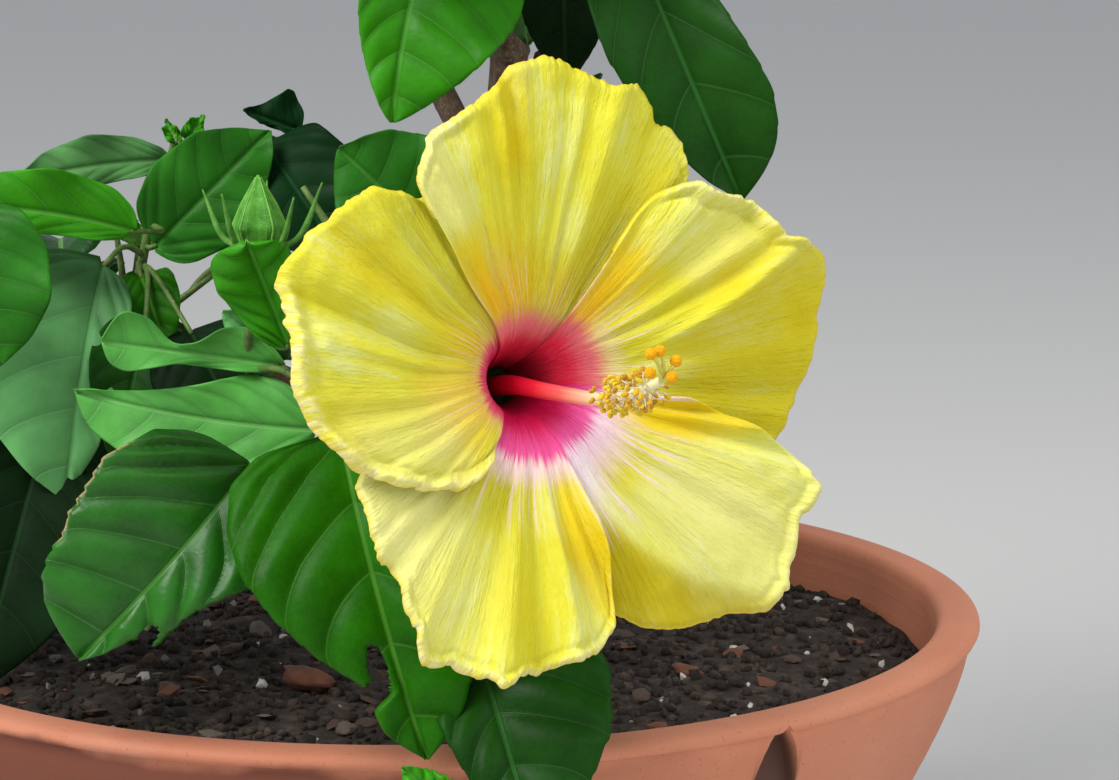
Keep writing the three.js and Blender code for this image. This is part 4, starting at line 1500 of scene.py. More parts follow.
# %% Bloom axes
BLOOM_TURN = math.radians(30)
BLOOM_LIFT = math.radians(15)
BLOOM_FACE = plant_point(40.5, -177, 108.7)
BLOOM_DEPTH = 38
FACING = np.array((
    math.sin(BLOOM_TURN) * math.cos(BLOOM_LIFT), -math.cos(BLOOM_TURN) * math.cos(BLOOM_LIFT),
    math.sin(BLOOM_LIFT)))
BLOOM_RIGHT = unit(np.cross((0, 0, 1), FACING))
BLOOM_UP = np.cross(FACING, BLOOM_RIGHT)
BLOOM_FOOT = BLOOM_FACE - BLOOM_DEPTH * MM * FACING


def bloom_point(right, up, depth):
    """A point of the bloom from millimetres to its right, up, and forward of the petals' foot."""
    right, up, depth = (np.asarray(value, float)[..., None] for value in (right, up, depth))
    return BLOOM_FOOT + MM * (right * BLOOM_RIGHT + up * BLOOM_UP + depth * FACING)


# %% Petal outlines
PETAL_LINE = [(0, -4), (4.6, 0), (5.6, 8), (9, 17), (18, 26), (36, 33), (57, 37), (78, 38), (95, 38)]
PETAL_TWIST = 3.4
THROAT_SHIFT = (4.5, 3.5)
CLAW_RADIUS = 4.6
STREAK_RADIUS = 50
PETAL_ROWS = 120
PETAL_COLUMNS = 208
GOLD = (0.96, 0.63, 0.008)
AMBER = (1.0, 0.50, 0.020)
# painted shade in the folds and where the petals face away from the light
FOLD_SHADE_YELLOW = (0.72, 0.56, 0.004)
# painted shade on the stretches of a petal that turn back
TURNED_SHADE_GOLD = (0.60, 0.47, 0.002)
LEMON = (0.88, 0.87, 0.34)

# margin: (angle, reach), anticlockwise from the bloom's right; all angles are degrees and all lengths mm
# folds: (angle, width, start, height), and a lean where there is one
# falls: (angle, side, start, most, lean) where the petal turns back, beyond a line that leans with the radius
# tones: (colour, strength) of the painted shade beyond each of these lines
# lips: (start, end, width, height)
# throat: the radii where the hollow, the crimson, the pink and the pale veil end
# patches: (share of the petal's width, spread, start, end, strength, colour)
PETALS = {
    "petal_top": dict(
        middle=82, seed=1, pleats=1.2, throat=(9, 14, 19.5, 23), crimson=(0.95, 0.030, 0.085),
        blush=(1.0, 0.25, 0.27), pale=(0.95, 0.76, 0.46), veil=0.10,
        margin=[(41, 56), (45, 70), (48, 74), (55, 76), (61, 80), (63, 80), (67, 77), (74, 78), (80, 80),
            (85, 78.5), (89, 77), (92, 73.5), (99, 69), (109, 66.5), (116, 63), (120, 58), (121, 50)],
        folds=[(113, 4, 20, 2.2), (104, 4, 24, -1.2), (94, 2.0, 40, 1.3), (90, 2.0, 44, -1.3),
            (76, 3.5, 28, -1.1), (66, 3.5, 26, 1.3), (55, 4, 30, -1.3), (96, 1.8, 44, -1.1)],
        falls=[(103, 1, 40, 3.0, 0)], lips=[(98, 121, 2.2, 0.9), (41, 52, 2.0, 0.9)],
        patches=[(0.88, 0.40, 20, 36, 0.9, GOLD), (0.78, 0.36, 16, 25, 0.9, AMBER),
            (0.45, 0.4, 18, 28, 0.4, GOLD), (0.62, 0.08, 54, 90, 0.9, FOLD_SHADE_YELLOW),
            (0.1, 0.16, 24, 60, 0.45, FOLD_SHADE_YELLOW), (0.95, 0.14, 44, 74, 0.8, LEMON)]),
    "petal_left": dict(
        middle=163, seed=2, pleats=1.7, throat=(8, 12, 15, 18), crimson=(0.86, 0.010, 0.10),
        blush=(0.92, 0.12, 0.24), pale=(0.95, 0.66, 0.38), veil=0.35,
        margin=[(112, 50), (119, 54), (126, 62.5), (132, 64.5), (142, 68), (152, 72.5), (159, 69),
            (168, 67.5), (181, 64.5), (189, 60), (198, 53.5), (207, 45), (215, 38.5), (222, 33),
            (228, 26)],
        folds=[(136, 3, 24, 1.7), (145, 4, 24, -0.9), (157, 3.5, 26, -1.0), (169, 4, 26, 1.1),
            (184, 4, 22, -0.9), (199, 5, 20, 1.4), (212, 4, 18, -1.2)], falls=[(134, -1, 30, 2.6, 0)],
        lips=[(152, 234, 4.0, 1.7)],
        patches=[(0.5, 0.7, 12, 24, 0.45, GOLD), (0.68, 0.3, 13, 28, 0.8, (0.98, 0.70, 0.11)),
            (0.8, 0.28, 26, 56, 0.5, LEMON), (0.26, 0.09, 36, 66, 0.5, FOLD_SHADE_YELLOW)]),
    "petal_bottom": dict(
        middle=240, seed=3, pleats=1.4, throat=(10, 18, 21, 27), crimson=(0.72, 0.006, 0.085),
        blush=(0.92, 0.10, 0.36), pale=(0.98, 0.70, 0.76), veil=0.85,
        margin=[(196, 50), (200, 54), (205, 56), (216, 61), (223, 61), (229, 66.5), (236, 73.5), (241, 71),
            (246, 72.5), (250, 73.5), (254, 70.5), (260, 68), (267, 66), (273, 64), (278, 59.5),
            (281, 53.5), (284, 43), (286, 33)],
        folds=[(212, 3.5, 26, 1.4), (221, 3, 24, -1.5), (231, 3.5, 22, 1.2), (241, 3, 22, -1.2),
            (250, 3, 20, 1.3), (259, 3, 20, -1.4), (267, 2, 22, 1.5), (273, 1.7, 24, -1.3),
            (277, 1.6, 22, 1.5), (281, 1.6, 22, -1.3), (286, 2.6, 22, 2.6)], falls=[(260, 1, 26, 3.0, 0.5)],
        tones=[((0.73, 0.54, 0.004), 0.9)], lips=[(222, 286, 2.0, 0.9)],
        patches=[(0.92, 0.14, 26, 44, 0.5, GOLD), (0.35, 0.3, 40, 70, 0.4, LEMON),
            (0.14, 0.30, 34, 76, 0.9, LEMON)]),
    "petal_lower_right": dict(
        middle=312, seed=4, pleats=1.1, throat=(10, 17, 20, 33), crimson=(0.75, 0.008, 0.10),
        blush=(0.93, 0.12, 0.42), pale=(0.98, 0.68, 0.88), veil=0.9,
        margin=[(270, 45), (276, 50), (283, 55.5), (291, 64), (299, 70), (307, 73.5), (311, 79),
            (317, 80.5), (322, 78), (328, 76), (336, 77), (340, 71.5), (344, 60), (347, 52), (351, 40)],
        folds=[(352, 3, 24, 3.0), (347.5, 1.8, 24, -1.6), (344, 1.8, 26, 1.6), (340, 2.2, 28, -1.6),
            (331, 4, 26, 1.3), (321, 4, 26, -1.2), (311, 4, 26, 1.2)],
        falls=[(288.2, -1, 26, 12.0, 0.48), (326, 1, 18, 2.4, 0.45)],
        tones=[(TURNED_SHADE_GOLD, 0.95), ((0.76, 0.55, 0.004), 0.9)], lips=[(308, 342, 2.4, 1.1)],
        patches=[(0.90, 0.16, 24, 44, 0.6, GOLD), (0.6, 0.34, 36, 84, 0.75, LEMON),
            (0.31, 0.16, 21, 33, 0.8, (0.82, 0.78, 0.80))]),
    "petal_upper_right": dict(
        middle=17, seed=5, pleats=1.1, throat=(12, 17, 23, 28), crimson=(0.97, 0.035, 0.095),
        blush=(0.93, 0.19, 0.23), pale=(0.96, 0.74, 0.50), veil=0.45,
        margin=[(-27, 60), (-22, 68), (-16, 73), (-8, 77.5), (-2, 81), (8, 85), (13, 88), (17, 88),
            (20, 84), (23, 78.5), (29, 77), (33, 76.5), (36, 71.5), (40, 67.5), (44, 66.5), (47, 62),
            (50, 57), (52, 50), (53, 40)],
        folds=[(12.0, 2.4, 30, 3.2, 0.2), (31, 4, 28, -1.8), (41, 4, 26, 1.8), (49, 4, 30, -1.2),
            (22, 3, 34, -1.0), (3, 2.6, 30, 1.2), (-5, 2.8, 30, -1.3), (-13, 2.8, 30, 1.3)],
        falls=[(11.0, -1, 30, 13.0, 0.2)], tones=[((0.70, 0.57, 0.004), 0.8)], lips=[(17, 50, 3.0, 1.8)],
        patches=[(0.90, 0.24, 18, 42, 1.0, GOLD), (0.93, 0.2, 16, 26, 0.6, AMBER),
            (0.72, 0.14, 50, 74, 0.4, LEMON), (0.60, 0.10, 56, 76, 0.5, FOLD_SHADE_YELLOW)]),
}


def smooth_line(radius):
    """The depth of a petal's middle line at a radius, with the corners of the line rounded."""
    radii, depths = np.array(PETAL_LINE, float).T
    fine = np.linspace(0, 95, 381)
    window = np.hanning(49)
    padded = np.pad(np.interp(fine, radii, depths), 24, mode="edge")
    return np.interp(radius, fine, np.convolve(padded, window / window.sum(), mode="valid"))


def noise_on(first, second, seed):
    """Smooth noise over two grids of coordinates."""
    points = np.stack((np.ravel(first), np.ravel(second), np.zeros(np.size(first))), axis=1)
    return smooth_noise(points, seed).reshape(np.shape(first))


def streaks_of(across, along, width, length, seed):
    """Noise in long streaks that run outwards, wander a little and fade in and out, with no rings."""
    slow = along / length + 0.37 * across / width
    wander = 0.8 * noise_on(slow, across / (6 * width) + 0 * slow, seed + 7)
    strength = 0.8 + 0.5 * noise_on(across / (3 * width) + 0 * slow, slow, seed + 3)
    return strength * noise_on(across / width + wander, 0 * slow, seed)


def petal_sheet(petal):
    """The petal's points, faces and maps."""
    share = np.linspace(0, 1, PETAL_ROWS)[:, None]
    edge = np.linspace(0, 1, PETAL_COLUMNS)[None, :]
    angles, reaches = np.array(petal["margin"], float).T
    margin_angle = angles[0] + (angles[-1] - angles[0]) * edge
    coarse, fine, notches = (
        streaks_of(margin_angle, 0 * margin_angle, width, 9, petal["seed"] + step)
        for width, step in ((2.7, 0), (0.8, 10), (2.6, 20)))
    reach = np.interp(margin_angle, angles, reaches) + 0.8 * coarse + 0.35 * fine
    reach = reach - 2.4 * np.clip(notches - 0.35, 0, 0.5)
    radius = CLAW_RADIUS + (reach - CLAW_RADIUS) * share
    spread = ramp_up(radius, 4.6, 12)
    angle = petal["middle"] + (margin_angle - petal["middle"]) * (0.96 + 0.04 * spread)
    apart = 0.25 + 0.75 * ramp_up(radius, 12, 46)
    depth = smooth_line(radius) + PETAL_TWIST * (2 * edge - 1) * apart
    depth = depth + petal_folds(petal, angle, radius) + petal_crumple(petal, angle, radius, share)
    depth = depth + petal_lips(petal, margin_angle, reach - radius)
    turn = np.radians(angle)
    shift_right, shift_up = (shift * (1 - ramp_up(radius, 4, 36)) for shift in THROAT_SHIFT)
    right, up = radius * np.cos(turn) + shift_right, radius * np.sin(turn) + shift_up
    points = bloom_point(right, up, depth).reshape(-1, 3)
    place = np.stack((edge + 0 * share, radius / 100), axis=-1).reshape(-1, 2)
    rim = np.stack(((reach - radius) / 100, angle / 360), axis=-1).reshape(-1, 2)
    maps = {"place": place, "rim": rim, "turned": turned_shares(petal, angle, radius)}
    return points, grid_faces(PETAL_ROWS, PETAL_COLUMNS), maps


def petal_folds(petal, angle, radius):
    """Long folds and the stretches that turn back, in millimetres of depth."""
    depth = np.zeros_like(radius)
    for middle, width, start, height, *lean in petal["folds"]:
        line = middle + sum(lean) * (radius - start)
        depth += height * np.exp(-(((angle - line) / width) ** 2)) * ramp_up(radius, start - 8, start + 24)
    for beyond, (_, _, start, most, _) in zip(beyond_lines(petal, angle, radius), petal["falls"]):
        depth -= most * (1 - np.exp(-beyond / 14)) * ramp_up(radius, start, start + 36)
    return depth


def beyond_lines(petal, angle, radius):
    """How many degrees each point lies beyond each line where the petal turns back, with a soft start."""
    lines = ((middle + lean * (radius - start), side) for middle, side, start, _, lean in petal["falls"])
    return [np.logaddexp(0, side * (angle - line) / 0.8) * 0.8 for line, side in lines]


def turned_shares(petal, angle, radius):
    """From 0 to 1 across each of the first two lines, for the petal's map."""
    shares = [0 * radius, 0 * radius]
    for index, beyond in enumerate(beyond_lines(petal, angle, radius)):
        start = petal["falls"][index][2]
        shares[index] = (1 - np.exp(-beyond / 1.4)) * ramp_up(radius, start, start + 16)
    return np.stack(shares, axis=-1).reshape(-1, 2)


def petal_lips(petal, angle, inward):
    """Stretches of the margin that roll forward into a thick lip with a crease inside it."""
    depth = np.zeros_like(inward)
    for start, end, width, height in petal["lips"]:
        here = ramp_up(angle, start, start + 6) * (1 - ramp_up(angle, end - 6, end))
        lip = np.exp(-(((inward - 0.5 * width) / (0.5 * width)) ** 2))
        crease = np.exp(-(((inward - 1.6 * width) / (0.45 * width)) ** 2))
        depth += height * here * (lip - 0.6 * crease)
    return depth


def petal_crumple(petal, angle, radius, share):
    """Ruffles that grow towards the margin, a soft crumple, and crepe wrinkles that run outwards."""
    arc = np.radians(angle - petal["middle"]) * STREAK_RADIUS
    inner = ramp_up(radius, 12, 34)
    seed = petal["seed"]
    ruffle = 1.8 * streaks_of(angle, radius, 8.5, 60, 40 + seed) * share**6
    flutter = 0.45 * streaks_of(angle, radius, 3.8, 50, 45 + seed) * share**8
    pleat = petal["pleats"] * streaks_of(angle, radius, 4.6, 85, 50 + seed) * inner
    crumple = 0.55 * streaks_of(arc, radius, 4.2, 45, 55 + seed) * inner
    crepe = 0.26 * streaks_of(arc, radius, 1.9, 30, 60 + seed) * inner
    pucker = 0.5 * noise_on(arc / 3.2, radius / 4.5, 65 + seed) * ramp_up(share, 0.55, 1.0)
    return ruffle + flutter + pleat + crumple + crepe + pucker - 1.4 * ramp_up(share, 0.965, 1.0) ** 2


# %% [markdown]
# ## Petal finish
# The colour runs out from the throat: almost black red in the hollow, crimson, pink, then white streaks
# over a golden blush, and clear yellow out to a thin golden margin. The petal's map holds the distance from
# the middle in tenths of a metre, so every ring of colour is a real radius. Noise that is drawn out along
# the petal breaks the rings into streaks, and the same noise gives the crepe its fine relief.

# %% Petal finish
PALE_YELLOW = (0.77, 0.79, 0.24)
CLEAR_YELLOW = (0.73, 0.70, 0.050)
RICH_YELLOW = (0.71, 0.635, 0.022)
HOLLOW_RED = (0.20, 0.0, 0.008)
MARGIN_GOLD = (0.88, 0.64, 0.06)
# painted highlight: the pale gold on the rolled lips
LIP_HIGHLIGHT_GOLD = (0.94, 0.84, 0.42)
BRUISE = (0.48, 0.44, 0.20)
PETAL_THICKNESS = 0.45 * MM
SKEW = math.radians(30)


def petal_noise(finish, stretch, detail, roughness=0.5, turn=SKEW):
    """Noise on the petal's map, turned a little so that no rows show in it."""
    return grain(finish, map_of(finish, "place", (*stretch, 1), turn), 1, detail, roughness)


def patch_mask(finish, side, out, centre, spread, start, end, strength):
    """Where a patch of colour lies: near a share of the petal's width, between two radii."""
    away = arithmetic(finish, "ABSOLUTE", arithmetic(finish, "SUBTRACT", side, centre))
    across = fade(finish, away, 0.2 * spread, spread, strength, 0)
    rising = fade(finish, out, (start - 6) / 100, (start + 3) / 100)
    falling = fade(finish, out, (end - 8) / 100, (end + 12) / 100, 1, 0)
    return product(finish, across, rising, falling)


def with_throat(finish, color, petal, out, ragged, lines):
    """The colour with pink, pale lines, crimson and the dark hollow towards the middle."""
    hollow, crimson, pink, white = (radius / 100 for radius in petal["throat"])
    outside = fade(finish, out, crimson - 0.02, pink)
    near = fade(finish, out, white, white + 0.12, 0.65, 0)
    line = product(finish, fade(finish, lines, 0.56, 0.62), outside, near)
    color = blend_colors(finish, fade(finish, ragged, crimson, pink, 1, 0), color, petal["blush"])
    color = blend_colors(finish, line, color, petal["pale"])
    color = blend_colors(finish, fade(finish, ragged, hollow, crimson, 1, 0), color, petal["crimson"])
    return blend_colors(finish, fade(finish, out, hollow * 0.45, hollow * 0.9, 1, 0), color, HOLLOW_RED)


def with_margin(finish, color, petal, crinkle):
    """The colour with a thin golden margin, painted highlights on the lips and a few bruises near it."""
    rim, angle = parts_of(finish, map_of(finish, "rim"))
    color = blend_colors(finish, fade(finish, rim, 0.001, 0.011, 0.65, 0), color, MARGIN_GOLD)
    for start, end, width, _ in petal["lips"]:
        after_start = fade(finish, angle, start / 360, (start + 8) / 360)
        before_end = fade(finish, angle, (end - 8) / 360, end / 360, 1, 0)
        near_rim = fade(finish, rim, 0.004, 0.013 * width, 0.75, 0)
        lip = product(finish, near_rim, after_start, before_end, fade(finish, crinkle, 0.4, 0.6))
        color = blend_colors(finish, lip, color, LIP_HIGHLIGHT_GOLD)
    specks = fade(finish, petal_noise(finish, (160, 60), 2, turn=0.0), 0.64, 0.74)
    bruises = product(finish, specks, fade(finish, rim, 0.02, 0.14, 0.4, 0))
    return blend_colors(finish, bruises, color, BRUISE)


def petal_finish(name, petal):
    """One petal's colours, from its mottled yellow to the rings of its throat and its margin."""
    finish = new_finish(name + "_colour", 0.6, CLEAR_YELLOW, gloss=0.16)
    side, out = parts_of(finish, map_of(finish, "place"))
    streaks = petal_noise(finish, (52, 1.6), 3, 0.6)
    lines = petal_noise(finish, (42, 1.0), 1.5)
    crinkle = petal_noise(finish, (84, 26), 4, 0.65)
    ribs = petal_noise(finish, (96, 2.2), 2)
    broad = petal_noise(finish, (6, 3.5), 2)
    mixed = weighted_sum(finish, (crinkle, 0.20), (streaks, 0.28), (broad, 0.52))
    color = ramp(finish, mixed, [(0.40, RICH_YELLOW), (0.50, CLEAR_YELLOW), (0.62, PALE_YELLOW)])
    ragged = arithmetic(finish, "MULTIPLY_ADD", streaks, -0.10, arithmetic(finish, "ADD", out, 0.05))
    pink, white = (radius / 100 for radius in petal["throat"][2:])
    color = blend_colors(finish, fade(finish, ragged, pink, white, petal["veil"], 0), color, petal["pale"])
    for centre, spread, start, end, strength, tone in petal["patches"]:
        mask = patch_mask(finish, side, out, centre, spread, start, end, strength)
        uneven = product(finish, mask, fade(finish, mixed, 0.40, 0.58, 1, 0.55))
        color = blend_colors(finish, uneven, color, tone)
    # painted shade: the stretches that turn back take the petal's tones
    for turned, (tone, strength) in zip(parts_of(finish, map_of(finish, "turned")), petal.get("tones", [])):
        uneven = fade(finish, mixed, 0.38, 0.62, strength, 0.7 * strength)
        color = blend_colors(finish, product(finish, turned, uneven), color, tone)
    color = with_throat(finish, color, petal, out, ragged, lines)
    wire(finish, "Base Color", with_margin(finish, color, petal, crinkle))
    broad_ribs = relief(finish, streaks, 0.0010, 0.30)
    fine_ribs = relief(finish, ribs, 0.0009, 0.40, broad_ribs)
    relief(finish, crinkle, 0.0009, 0.65, fine_ribs)
    return finish


for name, petal in PETALS.items():
    points, faces, maps = petal_sheet(petal)
    piece = new_piece(name + "_blade", points, faces, [petal_finish(name, petal)], maps=maps)
    apply_modifier(piece, "SOLIDIFY", thickness=PETAL_THICKNESS, offset=0, use_quality_normals=True)
    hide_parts(name)
print("petals", len(PETALS), "each of", triangles_of(piece), "triangles")

# %% [markdown]
# ## Column, anthers and stigmas
# The column is one smooth rod that fades from crimson to cream and droops under its own weight. Short white
# filaments stand out near its end, each with a golden anther, and beyond them five styles part to round
# orange pads. Filaments and anthers are small shapes repeated round the column, one golden-angle turn after
# another.

# %% Column
COLUMN_POINTS = [(4.5, 3.5, 2), (3.6, 2.6, 14), (2.8, -1.2, 33), (4.5, -5.4, 54), (6.5, -5.4, 68),
                 (7.6, -3.8, 76)]
FILAMENT_COUNT = 86


def column_finish():
    """Crimson that fades to cream along the rod, in fine lines."""
    rod = new_finish("column_colour", 0.42, (0.8, 0.2, 0.15), gloss=0.4)
    _, along = parts_of(rod, map_of(rod, "surface"))
    lines = grain(rod, map_of(rod, "surface", (14, 1.5, 1)), 1, 2)
    uneven = arithmetic(rod, "MULTIPLY_ADD", lines, 0.10, arithmetic(rod, "SUBTRACT", along, 0.05))
    wire(rod, "Base Color", ramp(rod, uneven, [
        (0.1, (0.50, 0.0, 0.02)), (0.34, (0.74, 0.010, 0.040)), (0.50, (0.84, 0.10, 0.11)),
        (0.61, (0.94, 0.38, 0.28)), (0.71, (0.95, 0.68, 0.44)), (0.95, (0.88, 0.84, 0.50))]))
    relief(rod, lines, 0.0003, 0.4)
    return rod


column_route = route_through([bloom_point(*point) for point in COLUMN_POINTS], 0.8 * MM)
points, faces, pairs = tapered(column_route, (2.7, 2.15, 1.45, 1.0), 28, places=(0, 0.25, 0.8, 1))
column = new_piece("column_rod", points, faces, [column_finish()], maps={"surface": pairs})
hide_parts("stamen_column")
print("column triangles", triangles_of(column))

# %% Filaments and anthers


def anther_shape():
    """A kidney-shaped pollen sac: a ball pressed flat and notched on one side."""
    bpy.ops.mesh.primitive_uv_sphere_add(segments=12, ring_count=8, radius=1)
    points, faces = taken_apart()
    notch = np.exp(-((points[:, 0] / 0.35) ** 2)) * np.clip(points[:, 1], 0, 1)
    return points * (1.25, 0.85, 0.8) - np.stack((0 * notch, 0.55 * notch, 0 * notch), axis=1), faces


def pollen_finish(name, color):
    """Loose grains of pollen."""
    return napped(name, 0.9, dimmed(color, 0.65), dimmed(color, 1.1), 2600, 0.0002, color=color)


def cream_finish(name, color):
    """The soft, slightly uneven surface of a filament or a style."""
    return two_tone(name, 0.45, color, 0.8, (500, 2), (1600, 2), depth=0.0001, strength=0.5)


random = np.random.default_rng(77)
along, side, up = route_frames(column_route)
sac_points, sac_faces = anther_shape()
filaments, anthers = Bundle(), Bundle()
for index in range(FILAMENT_COUNT):
    share = 0.73 + 0.23 * (index + 0.5) / FILAMENT_COUNT + random.normal(0, 0.006)
    step = min(len(column_route) - 1, int(share * (len(column_route) - 1)))
    turn = GOLDEN_TURN * index
    out = around(turn, side[step], up[step])
    start = column_route[step] + out * 1.2 * MM
    end = start + (out * random.uniform(1.9, 3.8) + along[step] * random.uniform(-0.6, 1.2)) * MM
    bend = 0.5 * (start + end) + along[step] * random.uniform(0.2, 0.9) * MM
    route = route_through([start, bend, end], 0.7 * MM)
    filaments.add(*tapered(route, (0.18, 0.18), 5))
    sac = turned_at_random(sac_points, random) * random.uniform(0.68, 0.95) * MM + end
    anthers.add(sac, sac_faces, finish=int(random.choice(3, p=(0.45, 0.3, 0.25))))
filaments.piece("filaments", [cream_finish("filament_white", (0.90, 0.86, 0.70))], "stigma")
pollen_finishes = [
    pollen_finish("bright_pollen", (0.95, 0.68, 0.03)), pollen_finish("golden_pollen", (0.92, 0.55, 0.02)),
    pollen_finish("spent_pollen", (0.66, 0.34, 0.02))]
anther_piece = anthers.piece("anther_sacs", pollen_finishes, "pollen")
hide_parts("anthers")
print("anthers", FILAMENT_COUNT, "triangles", triangles_of(anther_piece))

# %% Styles and stigma pads
PAD_PIXELS = [(651, 354), (660, 351), (676, 361), (650, 373), (672, 377)]
PAD_RADIUS = 1.4
PAD_MIDDLE = (9, -0.6, 81)
pad_depth = bloom_point(*PAD_MIDDLE)[1] / MM


def pad_shape():
    """A round pad, a little flattened, with a dense short nap."""
    points, faces = lump_shape(4)
    return points * (1 + 0.07 * smooth_noise(points * 6, 31))[:, None] * (1, 0.8, 1), faces


styles, pads = Bundle(), Bundle()
pad_points, pad_faces = pad_shape()
for index, pixel in enumerate(PAD_PIXELS):
    centre = at_pixel(pixel, pad_depth + (index % 3 - 1) * 1.5)
    root = column_route[-1]
    bend = 0.5 * (root + centre) + along[-1] * 1.2 * MM
    route = route_through([column_route[-4], root, bend, centre], 0.7 * MM)
    styles.add(*tapered(route, (0.7, 0.42), 8))
    pads.add(pad_points * PAD_RADIUS * MM + centre, pad_faces)
style_piece = styles.piece("style_branches", [cream_finish("style_green", (0.78, 0.74, 0.14))], "column")
stigma_orange = napped(
    "stigma_orange", 0.75, (0.96, 0.36, 0.002), (1.0, 0.55, 0.02), 2400, 0.0003,
    color=(0.98, 0.40, 0.005), gloss=0.1)
pad_piece = pads.piece("stigma_pads", [stigma_orange], "stigma")
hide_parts("style")
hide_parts("stigmas")
print("pads", len(PAD_PIXELS), "triangles", triangles_of(pad_piece))

# %% [markdown]
# ## Calyx, stalk and bud
# Behind the petals sits a green cup with five pointed lobes, ringed by narrow bracts, at the end of the
# bloom's stalk. The bud at the left is the same cup, still closed to a ribbed point. Both are rings of
# points: the radius swells at each of five ribs, and the cup's rim rises and falls into its lobes.

# %% Calyx and stalk


def calyx_finish(name, dark, middle, light):
    """A soft mottled green in three tones."""
    stops = [(0.3, dark), (0.55, middle), (0.8, light)]
    return shaded(name, 0.5, stops, (320, 4), (1500, 3), depth=0.0003, strength=0.7, color=middle, gloss=0.2)


def frame_of(axis):
    """Two directions across an axis."""
    right = unit(np.cross((0, 0, 1), axis))
    return right, np.cross(axis, right)


def ribbed_cup(foot, axis, profile, lobe, sides=60, rows=26, rib=0.05):
    """A cup round an axis, whose upper part narrows into five lobes. profile gives (height, radius) in mm."""
    right, up = frame_of(axis)
    share = np.linspace(0, 1, rows)[:, None]
    turn = np.linspace(0, 2 * math.pi, sides, endpoint=False)[None, :]
    heights, radii = np.array(profile, float).T
    height = heights[0] + (heights[-1] - heights[0]) * share
    dip = (1 - np.abs(np.cos(2.5 * turn))) * lobe * ramp_up(share, 0.45, 1)
    height = height - dip
    radius = np.interp(height, heights, radii) * (1 + rib * np.cos(5 * turn) * ramp_up(share, 0, 0.3))
    flat = (radius * np.cos(turn))[..., None] * right + (radius * np.sin(turn))[..., None] * up
    points = foot + MM * (flat + (height + 0 * turn)[..., None] * axis)
    return points.reshape(-1, 3), grid_faces(rows, sides, closed=True)


def add_bracts(bundle, foot, axis, radius, length, count, splay, random):
    """Narrow bracts that stand round the foot of a cup and bend outwards."""
    right, up = frame_of(axis)
    for index in range(count):
        turn = 2 * math.pi * (index + random.uniform(-0.12, 0.12)) / count
        out = around(turn, right, up)
        start = foot + out * radius * MM
        reach = length * random.uniform(0.85, 1.15) * MM
        flare = splay * random.uniform(0.6, 1.3)
        bend = start + 0.45 * reach * (0.45 * axis + flare * out)
        route = route_through([start, bend, start + reach * (0.95 * axis + 0.8 * flare * out)], 1.2 * MM)
        bundle.add(*tapered(route, (0.75, 0.85, 0.22), 8, places=(0, 0.5, 1)))


cup_finish = calyx_finish("calyx_green", (0.055, 0.19, 0.025), (0.11, 0.31, 0.045), (0.24, 0.42, 0.10))
bud_finish = calyx_finish("bud_green", (0.045, 0.21, 0.018), (0.10, 0.36, 0.035), (0.22, 0.48, 0.09))
random = np.random.default_rng(55)
cup_foot = bloom_point(*THROAT_SHIFT, -14)
cup_profile = [(0, 2.2), (2, 5.2), (6, 7.4), (12, 8.2), (18, 8.8), (24, 10.2), (30, 13.5)]
points, faces = ribbed_cup(cup_foot, FACING, cup_profile, 13)
calyx = new_piece("calyx_cup", points, faces, [cup_finish])
apply_modifier(calyx, "SOLIDIFY", thickness=0.6 * MM, offset=1)
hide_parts("calyx")
bracts = Bundle()
add_bracts(bracts, cup_foot + 1.5 * MM * FACING, FACING, 3.6, 15, 8, 0.75, random)
stalk_end = cup_foot + 0.8 * MM * FACING
stalk_bend = cup_foot - 14 * MM * FACING
stalk_points = [plant_point(4, -83, 79.8), plant_point(1, -98, 81), stalk_bend, stalk_end]
stalk_route = route_through(stalk_points, 1.5 * MM)
points, faces, _ = tapered(stalk_route, (1.9, 1.75, 2.0, 2.9), 14, places=(0, 0.8, 0.9, 1))
stalk = new_piece("bloom_stalk_green", points, faces, [green_bark])
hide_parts("bloom_stalk")
print("calyx triangles", triangles_of(calyx))

# %% Bud
BUD_FOOT_PIXEL = (259, 250)
BUD_TIP_PIXEL = (258, 175)
BUD_DEPTH = -134
BUD_RIB = 0.13
BUD_SIDES = 50
BUD_ROWS = 30


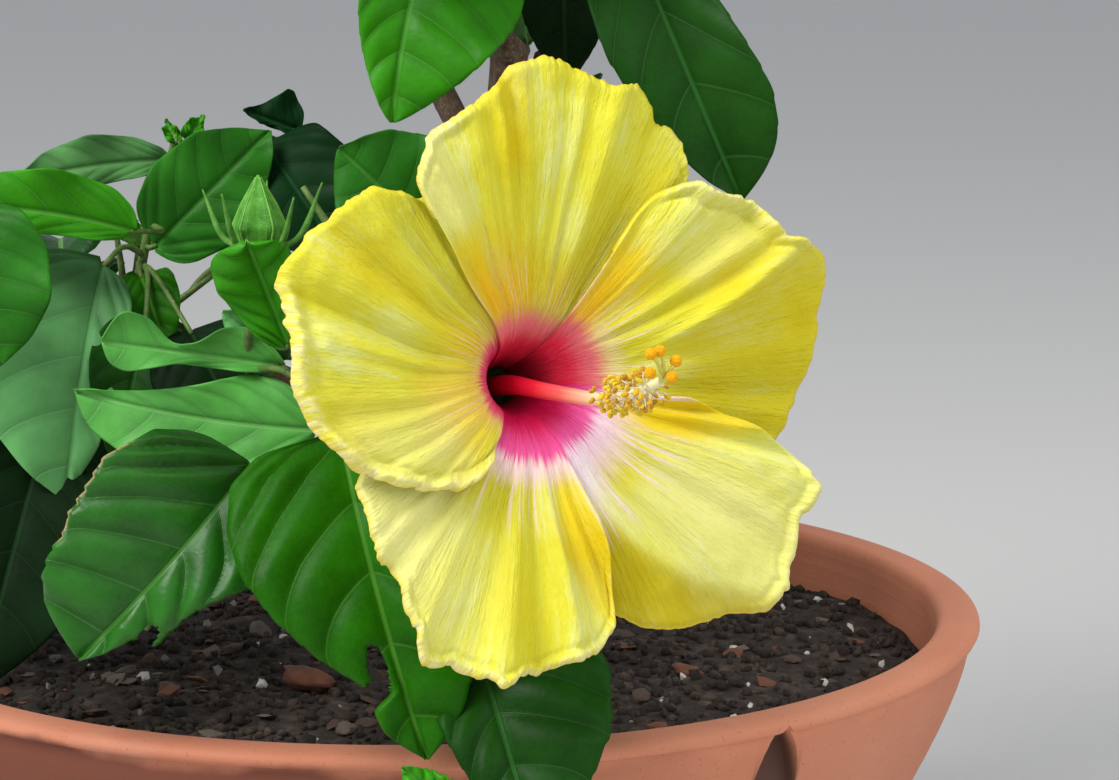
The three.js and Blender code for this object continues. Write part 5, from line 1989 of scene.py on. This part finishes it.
def bud_seams(foot, axis, profile):
    """Raised pale seams along the ribs of the bud, and a fainter vein at each side of a seam."""
    right, up = frame_of(axis)
    heights, radii = np.array(profile, float).T
    seams = Bundle()
    for index in range(15):
        swing = (index % 3 - 1) * math.radians(13)
        turn = 2 * math.pi * (index // 3) / 5 + swing
        height = np.linspace(0.06, 0.97, 24) * heights[-1]
        swell = 1 + BUD_RIB * math.cos(5 * swing)
        radius = np.interp(height, heights, radii) * swell + 0.02
        line = foot + MM * (radius[:, None] * around(turn, right, up) + height[:, None] * axis)
        thick = 0.32 if swing == 0 else 0.09
        seams.add(*tapered(line, (thick, 0.4 * thick), 6))
    return seams


bud_foot = at_pixel(BUD_FOOT_PIXEL, BUD_DEPTH)
bud_tip = at_pixel(BUD_TIP_PIXEL, BUD_DEPTH)
bud_axis = unit(bud_tip - bud_foot)
bud_length = np.linalg.norm(bud_tip - bud_foot) / MM
bud_profile = [(0, 2.4), (0.10 * bud_length, 5.0), (0.32 * bud_length, 6.2), (0.6 * bud_length, 4.2),
               (0.9 * bud_length, 1.3), (bud_length, 0.25)]
points, faces = ribbed_cup(bud_foot, bud_axis, bud_profile, 0, BUD_SIDES, BUD_ROWS, BUD_RIB)
new_piece("bud_cup", points, faces + end_faces(BUD_ROWS, BUD_SIDES), [bud_finish])
add_bracts(bracts, bud_foot, bud_axis, 3.4, 16, 5, 0.9, random)
bracts.piece("bracts", [cup_finish], "calyx")
seam_finish = calyx_finish("bud_seam_green", (0.14, 0.40, 0.06), (0.24, 0.52, 0.11), (0.36, 0.60, 0.20))
bud_seams(bud_foot, bud_axis, bud_profile).piece("bud_seams", [seam_finish], "calyx")
bud_stalk = Bundle()
add_stalk(bud_stalk, nearest_wood(bud_foot), bud_foot, bud_axis)
bud_stalk.piece("bud_stalk", [green_bark], "green_stem")
print("bud", round(bud_length, 1), "mm long")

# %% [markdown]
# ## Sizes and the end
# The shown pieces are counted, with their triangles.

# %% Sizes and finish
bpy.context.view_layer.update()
shown = [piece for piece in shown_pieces() if piece.type == "MESH"]
print("pieces", len(shown), "triangles", sum(triangles_of(piece) for piece in shown))
